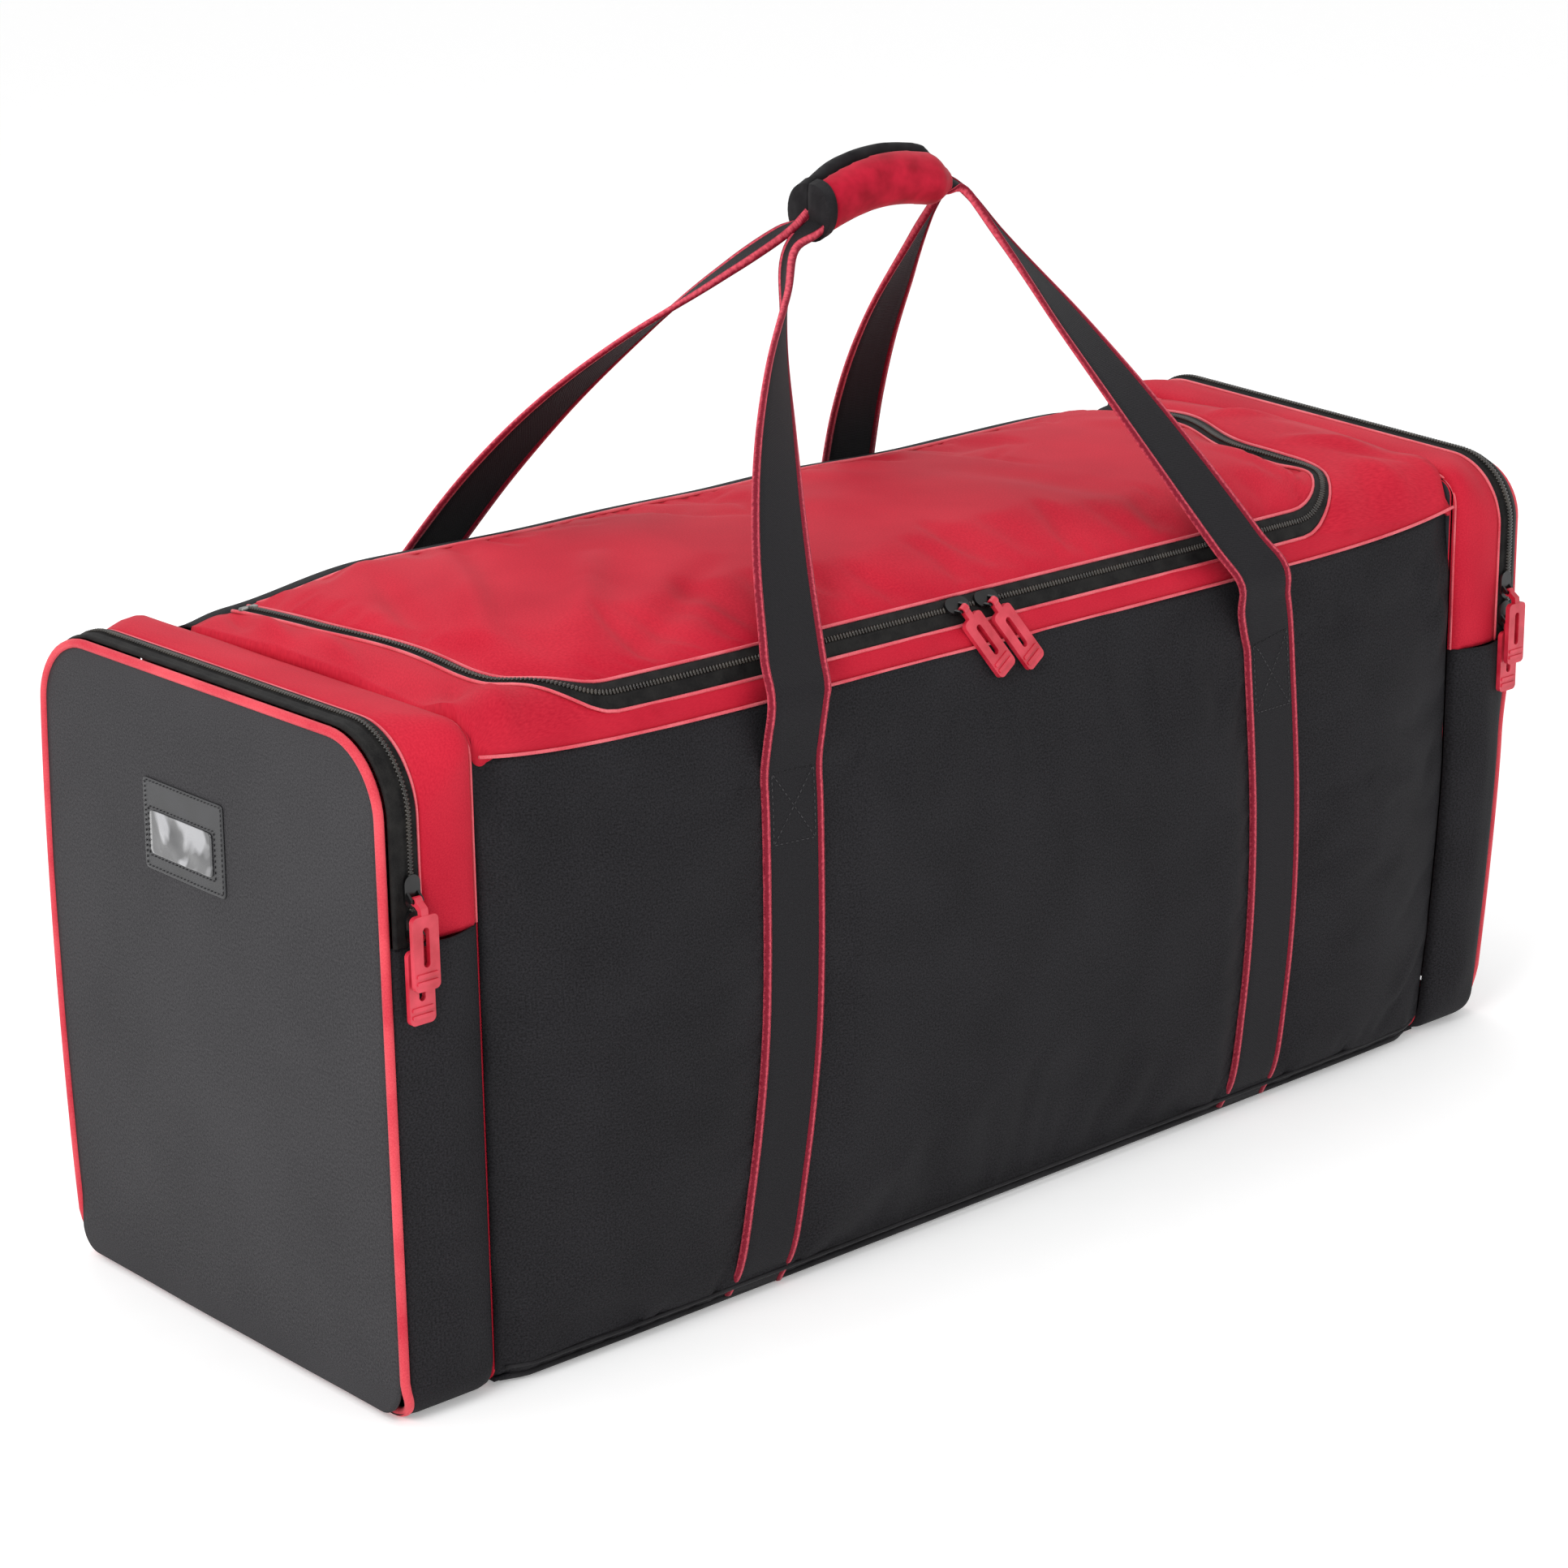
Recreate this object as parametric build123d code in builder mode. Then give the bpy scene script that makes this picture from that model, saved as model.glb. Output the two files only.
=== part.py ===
"""Hockey equipment bag: a long zipped duffel with two end pockets, two carry handles and a wrapped grip.

Millimetres. X runs along the bag, -Y is the front, +Z is up. The origin is on the floor, under the
middle of the bag.
"""
from build123d import *
import os
from math import atan2, cos, hypot, radians, sin

os.makedirs("parts", exist_ok=True)

# ---- driving dimensions -------------------------------------------------------------------------
LENGTH = 1022.0  # over the piping of both end panels
WIDTH = 354.0  # front face to back face
HEIGHT = 434.0  # floor to the top of the end pockets
WALL = 2.5  # laminated polyester with its lining

POCKET_DEPTH = 70.0  # each end pocket, measured along the bag
TOP_CORNER = 48.0  # corner radii of the end pockets
BOTTOM_CORNER = 35.0
ZIP_BAND = 27.0  # both tapes of a pocket zip
TAPE = 7.0  # one tape of the main zip
TAPE_RISE = 1.0  # a zip stands this proud of the fabric
ZIP_GAP = 0.3  # half the gap between the two halves of a zip
RED_START = 300.0  # height where the pocket gusset turns from black to red
FOLD_HEIGHT = 290.0  # the pocket door folds down about this line
PIPING_RADIUS = 3.0

SEAM_Y, SEAM_Z = -172.5, 388.0  # seam between the black front and the red top
SEAM_GAP = 1.2  # keeps the two panels' inner corners apart
FACE_TOP = 360.0  # the front face is upright to here
ZIP_Y, ZIP_Z = -160.0, 412.0  # centre line of the main zip, along the front
LID_HALF = 392.0  # centre line of the main zip, at the ends
LID_CORNER = 45.0
LID_REAR = 120.0  # the lid is sewn to the back panel here
LID_REAR_Z = 436.5
CROWN_Z = 441.0  # highest line of the lid

STRAP = 40.0  # black webbing
EDGING = 4.0  # red edging along each side of it
STRAP_THICK = 2.5
EDGING_THICK = 3.5
RISER_Y = 187.5  # the strap stands off the shoulder here, so that the zip pulls pass under it
RISER_START, RISER_END = 352.0, 389.0
HANDLE_Y, HANDLE_Z = 191.0, 391.0  # where a handle folds
GRIP_Y, GRIP_END_Z = 9.0, 640.0  # where a handle reaches the grip
GRIP_LEFT, GRIP_RIGHT = -23.0, 102.0  # ends of the padded wrap
GRIP_CROWN = 661.0  # middle of the arched grip
GRIP_HALF_HEIGHT = 17.0
GRIP_DEPTH = 21.0
GRIP_SPLIT = 0.4  # half the gap where the two halves of the wrap meet

PULL_LENGTH, PULL_WIDTH, PULL_THICK = 52.0, 18.0, 3.5
EYE_RADIUS, EYE_HOLE, EYE_LENGTH = 2.8, 1.6, 5.0
BAR_RADIUS = 1.0
SLIDER_LONG, SLIDER_WIDE, SLIDER_THICK = 20.0, 11.0, 2.0

# ---- worked out from them -----------------------------------------------------------------------
HALF_LENGTH = LENGTH / 2
HALF_WIDTH = WIDTH / 2
POCKET_X = HALF_LENGTH - POCKET_DEPTH
BODY_X = POCKET_X - WALL  # half length of the main panels
BAND_OUT = HALF_LENGTH - 2 * PIPING_RADIUS  # outer edge of the gusset
BAND_IN = BAND_OUT - ZIP_BAND
COIL_X = BAND_OUT - ZIP_BAND / 2
SIDES = {"left": -1, "right": 1}
FACES = {"front": -1, "back": 1}
BIG = 2000.0  # more than the bag in any direction


def save(piece, name):
    """Label a finished sub-part and write it."""
    piece.part.label = name
    export_step(piece.part, f"parts/{name}.step")


def top_line(rise):
    """The lid's profile from the front seam to the rear seam, rise above the fabric's outer face."""
    front = Line((SEAM_Y - rise, SEAM_Z), (ZIP_Y - rise, ZIP_Z + rise))
    shoulder = ThreePointArc(front @ 1, (-143.0, 426.0 + rise), (-115.0, 433.5 + rise))
    ThreePointArc(shoulder @ 1, (5.0, CROWN_Z + rise), (LID_REAR, LID_REAR_Z + rise))


def pocket_outline(inset=0.0):
    """The end pocket seen along X: a tall rectangle with rounder corners at the top."""
    with BuildSketch() as outline:
        with Locations((0, HEIGHT / 2)):
            Rectangle(WIDTH, HEIGHT)
        fillet(outline.vertices().group_by(Axis.Y)[-1], TOP_CORNER)
        fillet(outline.vertices().group_by(Axis.Y)[0][:2], BOTTOM_CORNER)
        if inset:
            offset(amount=-inset)
    return outline.sketch


def zip_outline(grow):
    """The main zip's centre line seen from above, grown or shrunk, open to the rear."""
    with BuildSketch() as outline:
        with Locations((0, (ZIP_Y + LID_REAR) / 2)):
            Rectangle(2 * (LID_HALF + grow), LID_REAR - ZIP_Y + 2 * grow)
        fillet(outline.vertices().group_by(Axis.Y)[0], LID_CORNER + grow)
        with Locations((0, LID_REAR)):
            Rectangle(BIG, BIG, align=(Align.CENTER, Align.MIN), mode=Mode.SUBTRACT)
    return outline.sketch


# ---- main compartment ---------------------------------------------------------------------------
with BuildPart() as bottom_panel:
    with BuildSketch(Plane.XY):
        Rectangle(2 * BODY_X, WIDTH)
    extrude(amount=WALL)
save(bottom_panel, "bottom_panel")

with BuildPart() as front_panel:
    with BuildSketch(Plane.YZ.offset(-BODY_X)):
        with BuildLine():
            Polyline((-HALF_WIDTH, WALL), (-HALF_WIDTH, FACE_TOP), (SEAM_Y, SEAM_Z - SEAM_GAP))
            offset(amount=WALL, side=Side.RIGHT)
        make_face()
    extrude(amount=2 * BODY_X)
save(front_panel, "front_panel")

with BuildPart() as back_panel:
    with BuildSketch(Plane.YZ.offset(-BODY_X)):
        with BuildLine():
            face = Line((HALF_WIDTH, WALL), (HALF_WIDTH, FACE_TOP))
            shoulder = TangentArc(face @ 1, (162.0, 420.0), tangent=face % 1)
            Line(shoulder @ 1, (LID_REAR - ZIP_GAP, LID_REAR_Z))
            offset(amount=WALL, side=Side.LEFT)
        make_face()
    extrude(amount=2 * BODY_X)
    split(bisect_by=Plane.XZ.offset(-(LID_REAR + ZIP_GAP)), keep=Keep.BOTTOM)
save(back_panel, "back_panel")

# the red yoke is sewn from a front strip and two end strips
YOKE_PARTS = {"front": (-LID_HALF, LID_HALF), "left": (-BODY_X, -LID_HALF), "right": (LID_HALF, BODY_X)}
for place, (start, stop) in YOKE_PARTS.items():
    with BuildPart() as yoke:
        with BuildSketch(Plane.YZ.offset(start)):
            with BuildLine():
                top_line(0.0)
                offset(amount=WALL, side=Side.RIGHT)
            make_face()
        extrude(amount=stop - start)
        with BuildSketch(Plane.XY):
            add(zip_outline(TAPE))
        extrude(amount=BIG, mode=Mode.SUBTRACT)
        split(bisect_by=Plane.XZ.offset(-LID_REAR), keep=Keep.TOP)
    save(yoke, f"{place}_yoke_strip")

# ---- lid and main zip ---------------------------------------------------------------------------
with BuildPart() as lid_panel:
    with BuildSketch(Plane.YZ.offset(-BODY_X)):
        with BuildLine():
            top_line(0.0)
            offset(amount=WALL, side=Side.RIGHT)
        make_face()
    extrude(amount=2 * BODY_X)
    with BuildSketch(Plane.XY):
        add(zip_outline(-TAPE))
    extrude(amount=BIG, mode=Mode.INTERSECT)
    split(bisect_by=Plane.XZ.offset(-(LID_REAR - ZIP_GAP)), keep=Keep.TOP)
save(lid_panel, "lid_panel")

# each half of the zip is a band of the same skin, standing a little proud of it
ZIP_HALVES = {"main_zip_frame_tape": (TAPE, ZIP_GAP), "main_zip_lid_tape": (-ZIP_GAP, -TAPE)}
for name, (outer, inner) in ZIP_HALVES.items():
    with BuildPart() as tape:
        with BuildSketch(Plane.YZ.offset(-BODY_X)):
            with BuildLine():
                top_line(TAPE_RISE)
                offset(amount=WALL, side=Side.RIGHT)
            make_face()
        extrude(amount=2 * BODY_X)
        with BuildSketch(Plane.XY):
            add(zip_outline(outer))
            add(zip_outline(inner), mode=Mode.SUBTRACT)
        extrude(amount=BIG, mode=Mode.INTERSECT)
        split(bisect_by=Plane.XZ.offset(-(LID_REAR - 2 * TAPE)), keep=Keep.TOP)
    save(tape, name)

with BuildPart() as main_zip_end_stops:
    with BuildSketch(Plane.XY.offset(LID_REAR_Z + TAPE_RISE)):
        with Locations(*[(side * (LID_HALF + 3.5), LID_REAR - 8.0) for side in SIDES.values()]):
            RectangleRounded(6.0, 9.0, 1.5)
    extrude(amount=2.5)
save(main_zip_end_stops, "main_zip_end_stops")


# ---- end pockets --------------------------------------------------------------------------------
def pocket_ring(name, side, start, stop, low, high, rise=0.0):
    """A stretch of the pocket's gusset, between two distances along X and two heights."""
    with BuildPart() as ring:
        with BuildSketch(Plane.YZ.offset(side * start)):
            add(pocket_outline(-rise))
            add(pocket_outline(WALL - rise), mode=Mode.SUBTRACT)
        extrude(amount=side * (stop - start))
        with BuildSketch(Plane.YZ.offset(side * start)):
            with Locations((0, low)):
                Rectangle(BIG, high - low, align=(Align.CENTER, Align.MIN))
        extrude(amount=side * (stop - start), mode=Mode.INTERSECT)
    save(ring, name)


def pocket_panel(name, side, low, high):
    """The end panel between two heights, inside the piping."""
    with BuildPart() as panel:
        with BuildSketch(Plane.YZ.offset(side * (HALF_LENGTH - 4.0))):
            add(pocket_outline(2 * PIPING_RADIUS))
        extrude(amount=side * WALL)
        with BuildSketch(Plane.YZ.offset(side * (HALF_LENGTH - 4.0))):
            with Locations((0, low)):
                Rectangle(BIG, high - low, align=(Align.CENTER, Align.MIN))
        extrude(amount=side * WALL, mode=Mode.INTERSECT)
    save(panel, name)


def pocket_piping(name, side, cut, keep):
    """The piping cord round the end panel, above or below a cut."""
    panel_edge = Plane.YZ.offset(side * (HALF_LENGTH - PIPING_RADIUS))
    route = panel_edge.from_local_coords(pocket_outline(PIPING_RADIUS).wire())
    with BuildPart() as piping:
        with BuildSketch(Plane(origin=panel_edge.origin + (0, 0, PIPING_RADIUS), z_dir=(0, 1, 0))):
            Circle(PIPING_RADIUS)
        sweep(path=route)
        split(bisect_by=Plane.XY.offset(cut), keep=keep)
    save(piping, name)


DOOR_LOW = FOLD_HEIGHT + 1.0
for place, side in SIDES.items():
    with BuildPart() as divider:
        with BuildSketch(Plane.YZ.offset(side * BODY_X)):
            add(pocket_outline())
        extrude(amount=side * WALL)
    save(divider, f"{place}_divider")
    pocket_ring(f"{place}_pocket_red_gusset", side, POCKET_X, BAND_IN, RED_START, BIG)
    pocket_ring(f"{place}_pocket_black_gusset", side, POCKET_X, BAND_OUT, 0.0, RED_START)
    pocket_ring(f"{place}_pocket_zip_gusset_tape", side, BAND_IN, COIL_X - ZIP_GAP, RED_START, BIG, TAPE_RISE)
    pocket_ring(f"{place}_pocket_zip_door_tape", side, COIL_X + ZIP_GAP, BAND_OUT, RED_START + 1.0, BIG, TAPE_RISE)
    pocket_panel(f"{place}_end_panel", side, 0.0, FOLD_HEIGHT - 1.0)
    pocket_panel(f"{place}_pocket_door_panel", side, DOOR_LOW, BIG)
    pocket_piping(f"{place}_end_piping", side, FOLD_HEIGHT - 1.0, Keep.BOTTOM)
    pocket_piping(f"{place}_pocket_door_piping", side, DOOR_LOW, Keep.TOP)

ID_Y, ID_LOW, ID_WIDE, ID_TALL = 21.0, 293.0, 84.0, 64.0
PANEL_FACE = -(HALF_LENGTH - 4.0 + WALL)
with BuildPart() as id_patch:
    with BuildSketch(Plane.YZ.offset(PANEL_FACE)):
        with Locations((ID_Y, ID_LOW + ID_TALL / 2)):
            RectangleRounded(ID_WIDE, ID_TALL, 3.0)
    extrude(amount=-1.0)
save(id_patch, "id_patch")

with BuildPart() as id_window:
    with BuildSketch(Plane.YZ.offset(PANEL_FACE - 1.0)):
        with Locations((ID_Y, ID_LOW + ID_TALL * 0.4)):
            RectangleRounded(ID_WIDE - 12.0, ID_TALL * 0.52, 2.0)
    extrude(amount=-0.5)
save(id_window, "id_window")

# ---- straps sewn to the two faces ---------------------------------------------------------------
# x of each strap at the floor and at the shoulder
STRAP_FEET = {
    "front": {"left": (-233.0, -198.0), "right": (227.0, 232.0)},
    "back": {"left": (-233.0, -206.0), "right": (217.0, 196.0)},
}


def sewn_strap(face, bands, thick):
    """Bands of strap up one face and out over the shoulder. A band is (x at foot, x at top, width)."""
    turn = FACES[face]
    half = WIDTH / 2
    with BuildPart() as strap:
        with BuildSketch(Plane.YZ.offset(-HALF_LENGTH)):
            with BuildLine():
                Polyline(
                    (turn * half, WALL + 0.5),
                    (turn * half, RISER_START),
                    (turn * (RISER_Y - STRAP_THICK / 2), RISER_START + 14.0),
                    (turn * (RISER_Y - STRAP_THICK / 2), RISER_END),
                )
                offset(amount=thick, side=Side.LEFT if turn < 0 else Side.RIGHT)
            make_face()
        extrude(amount=LENGTH)
        with BuildSketch(Plane.XZ.offset(-BIG / 2)):
            for foot, top, width in bands:
                with BuildLine():
                    Polyline(
                        (foot - width / 2, 0),
                        (foot + width / 2, 0),
                        (top + width / 2, RISER_END),
                        (top - width / 2, RISER_END),
                        close=True,
                    )
                make_face()
        extrude(amount=BIG, mode=Mode.INTERSECT)
    return strap


EDGE_OFFSET = STRAP / 2 + EDGING / 2
for face, feet in STRAP_FEET.items():
    edges = []
    for place, (foot, top) in feet.items():
        save(sewn_strap(face, [(foot, top, STRAP)], STRAP_THICK), f"{face}_{place}_strap")
        edges += [(foot + shift, top + shift, EDGING) for shift in (-EDGE_OFFSET, EDGE_OFFSET)]
    save(sewn_strap(face, edges, EDGING_THICK), f"{face}_strap_edging")


# ---- handles ------------------------------------------------------------------------------------
LEAN = atan2(HANDLE_Y - GRIP_Y, GRIP_END_Z - HANDLE_Z)
REACH = hypot(HANDLE_Y - GRIP_Y, GRIP_END_Z - HANDLE_Z)  # fold line to grip, along the strap
TAPER = 225.0  # the webbing starts to gather here
GATHERED = 0.5  # share of its width at the grip


def handle_plane(face):
    """The plane that a handle's two legs lie in. Its x is the bag's, its y runs up the legs."""
    turn = FACES[face]
    origin = (0, turn * HANDLE_Y, HANDLE_Z)
    return Plane(origin=origin, x_dir=(1, 0, 0), z_dir=(0, -cos(LEAN), -turn * sin(LEAN)))


def leg_points(foot, top, low, high, inner, outer):
    """A tapering band beside a leg's centre line, between two distances across it."""
    def across(reach):
        share = max(0.0, (reach - TAPER) / (REACH - TAPER))
        return 1 - (1 - GATHERED) * share

    rows = [low, TAPER, high]
    centre = [foot + (top - foot) * reach / REACH for reach in rows]
    one = [(x + inner * across(reach), reach) for x, reach in zip(centre, rows)]
    two = [(x + outer * across(reach), reach) for x, reach in zip(centre, rows)]
    return one + two[::-1]


def grip_band(inset, stretch=0.0):
    """The arched grip seen from the front, as an arc band with square ends."""
    low = GRIP_HALF_HEIGHT - inset
    middle = (GRIP_LEFT + GRIP_RIGHT) / 2
    left, right = GRIP_LEFT - stretch, GRIP_RIGHT + stretch
    lift = 6.0  # the right end stands higher than the left
    with BuildSketch() as band:
        with BuildLine():
            under = ThreePointArc(
                (left, GRIP_END_Z - low), (middle, GRIP_CROWN - low), (right, GRIP_END_Z + lift - low)
            )
            over = ThreePointArc(
                (right, GRIP_END_Z + lift + low), (middle, GRIP_CROWN + low), (left, GRIP_END_Z + low)
            )
            Line(under @ 1, over @ 0)
            Line(over @ 1, under @ 0)
        make_face()
    return band.sketch


WEB_IN_GRIP = 11.0  # half the width of the folded webbing inside the wrap
WEB_PAST_GRIP = 13.0  # the folded webbing comes this far out of the wrap
LEG_TOPS = {"left": GRIP_LEFT - 8.0, "right": GRIP_RIGHT + 8.0}
for face, turn in FACES.items():
    centre = Plane(origin=(0, turn * (GRIP_Y - STRAP_THICK / 2), 0), x_dir=(1, 0, 0), z_dir=(0, -1, 0))
    with BuildPart() as handle_strap:
        with BuildSketch(handle_plane(face)):
            for place, (foot, shoulder_x) in STRAP_FEET[face].items():
                with BuildLine():
                    points = leg_points(shoulder_x, LEG_TOPS[place], 2.5, REACH + 4.0, -STRAP / 2, STRAP / 2)
                    Polyline(*points, close=True)
                make_face()
        extrude(amount=STRAP_THICK / 2, both=True)
        with BuildSketch(Plane.YZ.offset(GRIP_LEFT)):
            Rectangle(BIG, BIG)
        extrude(amount=GRIP_RIGHT - GRIP_LEFT, mode=Mode.SUBTRACT)
        with BuildSketch(centre):
            add(grip_band(GRIP_HALF_HEIGHT - WEB_IN_GRIP, WEB_PAST_GRIP))
        extrude(amount=-turn * STRAP_THICK)
    save(handle_strap, f"{face}_handle_strap")

    with BuildPart() as handle_edging:
        with BuildSketch(handle_plane(face)):
            for place, (foot, shoulder_x) in STRAP_FEET[face].items():
                for inner, outer in ((-STRAP / 2 - EDGING, -STRAP / 2), (STRAP / 2, STRAP / 2 + EDGING)):
                    with BuildLine():
                        points = leg_points(shoulder_x, LEG_TOPS[place], 2.5, REACH - 24.0, inner, outer)
                        Polyline(*points, close=True)
                    make_face()
        extrude(amount=EDGING_THICK / 2, both=True)
    save(handle_edging, f"{face}_handle_edging")

    meeting = Plane(origin=(0, turn * GRIP_SPLIT, 0), x_dir=(1, 0, 0), z_dir=(0, -1, 0))
    BINDING = 14.0
    with BuildPart() as grip_pad:
        with BuildSketch(meeting):
            add(grip_band(0.0))
        extrude(amount=-turn * (GRIP_DEPTH - GRIP_SPLIT))
        far = grip_pad.faces().sort_by(Axis.Y)[0 if turn < 0 else -1]
        fillet(far.edges().filter_by(GeomType.CIRCLE), 9.0)
        with BuildSketch(centre):
            add(grip_band(GRIP_HALF_HEIGHT - WEB_IN_GRIP, WEB_PAST_GRIP))
        extrude(amount=-turn * STRAP_THICK, mode=Mode.SUBTRACT)
        with BuildSketch(Plane.YZ.offset(GRIP_LEFT)):
            Rectangle(BIG, BIG)
        extrude(amount=BINDING, mode=Mode.SUBTRACT)
    save(grip_pad, f"{face}_grip_pad")

    with BuildPart() as grip_binding:
        with BuildSketch(meeting):
            add(grip_band(0.0))
        extrude(amount=-turn * (GRIP_DEPTH - GRIP_SPLIT))
        far = grip_binding.faces().sort_by(Axis.Y)[0 if turn < 0 else -1]
        fillet(far.edges().filter_by(GeomType.CIRCLE), 9.0)
        with BuildSketch(centre):
            add(grip_band(GRIP_HALF_HEIGHT - WEB_IN_GRIP, WEB_PAST_GRIP))
        extrude(amount=-turn * STRAP_THICK, mode=Mode.SUBTRACT)
        with BuildSketch(Plane.YZ.offset(GRIP_LEFT)):
            Rectangle(BIG, BIG)
        extrude(amount=BINDING, mode=Mode.INTERSECT)
    save(grip_binding, f"{face}_grip_binding")


# ---- sliders and pulls --------------------------------------------------------------------------
def slider(name, seat, across):
    """A zip slider: a plate over the coil, two posts and the bar that carries the pull.

    seat is the plate's plane, with x along the zip and z away from the bag. across is the pull's
    hinge plane: its origin is on the bar and its z runs along the bar.
    """
    with BuildPart() as body:
        with BuildSketch(seat):
            SlotOverall(SLIDER_LONG, SLIDER_WIDE)
        extrude(amount=SLIDER_THICK)
        with BuildSketch(across.offset(-EYE_LENGTH / 2 - 2.0)):
            Circle(BAR_RADIUS)
        extrude(amount=EYE_LENGTH + 4.0)
        for end in (-1, 1):
            with BuildSketch(across.offset(end * (EYE_LENGTH / 2 + 1.25))):
                with BuildLine():
                    foot = across.to_local_coords(seat.origin)
                    Line((0, 0), (foot.X, foot.Y))
                trace_width = 2 * BAR_RADIUS + 0.8
                trace(line_width=trace_width)
            extrude(amount=0.75, both=True)
        with BuildSketch(seat):
            Rectangle(BIG, BIG)
        extrude(amount=-BIG / 2, mode=Mode.SUBTRACT)
    save(body, name)


def pull(name, across, crank=0.0):
    """A moulded pull: an eye round the slider's bar, a neck, and a tab with a long slot and two ribs.

    across has its origin on the bar, its z along the bar and its x down the tab; its y points away
    from the bag. crank sets the tab further from the bag than the eye.
    """
    tab = Plane(origin=across.origin, x_dir=across.x_dir, z_dir=across.y_dir)
    neck = 7.0
    with BuildPart() as piece:
        with BuildSketch(tab.offset(crank - PULL_THICK / 2)):
            with Locations((neck + (PULL_LENGTH - neck) / 2, 0)):
                RectangleRounded(PULL_LENGTH - neck, PULL_WIDTH, 3.5)
            with Locations((neck + 19.0, 0)):
                SlotOverall(24.0, 4.5, mode=Mode.SUBTRACT)
        extrude(amount=PULL_THICK)
        with BuildSketch(tab.offset(crank + PULL_THICK / 2)):
            with Locations((PULL_LENGTH - 5.0, 0), (PULL_LENGTH - 9.5, 0)):
                RectangleRounded(2.4, PULL_WIDTH - 3.0, 0.8)
        extrude(amount=0.8)
        with BuildSketch(across.offset(-EYE_LENGTH / 2)):
            with BuildLine():
                Polyline((0, 0), (neck * 0.55, crank * 0.9), (neck + 2.0, crank))
            trace(line_width=PULL_THICK)
            Circle(EYE_RADIUS)
            Circle(EYE_HOLE, mode=Mode.SUBTRACT)
        extrude(amount=EYE_LENGTH)
    save(piece, name)


SEAT_LIFT = TAPE_RISE + 0.6  # underside of a slider above the fabric
BAR_LIFT = SLIDER_THICK + EYE_RADIUS + 0.5  # a slider's bar above its underside

# the main zip's sliders sit nose to nose; their pulls hang over the shoulder, slanting to one side
SLOPE = radians(50.0)  # the zip's tilt from the horizontal
AWAY = Vector(0, -sin(SLOPE), cos(SLOPE))
UPHILL = Vector(0, cos(SLOPE), sin(SLOPE))
MAIN_X = {"left": -45.0, "right": -19.0}
BAR_DOWNHILL = 5.0  # from the middle of the zip to the bar
FALL = Vector(0, -14, -44).normalized()  # straight down over the shoulder
SLANT = radians(30.0)
for place, x in MAIN_X.items():
    middle = Vector(x, ZIP_Y, ZIP_Z)
    seat = Plane(origin=middle + AWAY * SEAT_LIFT, x_dir=(1, 0, 0), z_dir=AWAY)
    down = Vector(1, 0, 0) * sin(SLANT) + FALL * cos(SLANT)
    bar_line = FALL * sin(SLANT) - Vector(1, 0, 0) * cos(SLANT)
    bar = middle + AWAY * (SEAT_LIFT + BAR_LIFT) - UPHILL * BAR_DOWNHILL
    hinge = Plane(origin=bar, x_dir=down, z_dir=bar_line)
    slider(f"main_zip_{place}_slider", seat, hinge)
    pull(f"main_zip_{place}_pull", hinge)

# each pocket zip has two sliders, parked at its front end, and the pulls hang one over the other
POCKET_SLIDERS = {"lower": (311.0, 0.0), "upper": (333.0, 6.0)}
for side_name, side in SIDES.items():
    for place, (height, crank) in POCKET_SLIDERS.items():
        x = side * COIL_X
        seat_y = -HALF_WIDTH - SEAT_LIFT
        seat = Plane(origin=(x, seat_y, height), x_dir=(0, 0, 1), z_dir=(0, -1, 0))
        bar = (x, seat_y - BAR_LIFT, height - BAR_DOWNHILL)
        hinge = Plane(origin=bar, x_dir=(0, 0, -1), z_dir=(-1, 0, 0))
        slider(f"{side_name}_pocket_{place}_slider", seat, hinge)
        pull(f"{side_name}_pocket_{place}_pull", hinge, crank)
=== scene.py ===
"""Hockey equipment bag: cloth, webbing, zips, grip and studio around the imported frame.

Metres, in the frame's own axes: X runs along the bag, -Y is its front, +Z is up.
"""
from math import cos, exp, hypot, pi, radians, sin

import bmesh
import bpy
from mathutils import Matrix, Quaternion, Vector, noise


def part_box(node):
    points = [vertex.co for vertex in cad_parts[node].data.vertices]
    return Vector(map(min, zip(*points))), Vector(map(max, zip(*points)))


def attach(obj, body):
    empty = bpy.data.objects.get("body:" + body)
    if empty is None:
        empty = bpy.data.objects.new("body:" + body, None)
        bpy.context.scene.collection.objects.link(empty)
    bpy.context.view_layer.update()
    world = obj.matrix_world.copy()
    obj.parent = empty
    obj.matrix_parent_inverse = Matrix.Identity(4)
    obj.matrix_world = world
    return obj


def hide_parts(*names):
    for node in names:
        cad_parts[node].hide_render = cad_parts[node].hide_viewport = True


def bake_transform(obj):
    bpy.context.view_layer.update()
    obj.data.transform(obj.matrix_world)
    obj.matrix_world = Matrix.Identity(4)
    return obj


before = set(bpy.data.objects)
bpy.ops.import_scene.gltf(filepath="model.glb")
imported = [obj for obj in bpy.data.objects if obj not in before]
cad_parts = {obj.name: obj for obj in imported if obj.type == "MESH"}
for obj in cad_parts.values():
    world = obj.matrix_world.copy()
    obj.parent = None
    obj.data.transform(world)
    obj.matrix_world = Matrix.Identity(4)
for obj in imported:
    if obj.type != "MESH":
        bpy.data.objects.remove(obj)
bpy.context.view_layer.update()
MM = 0.001

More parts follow.
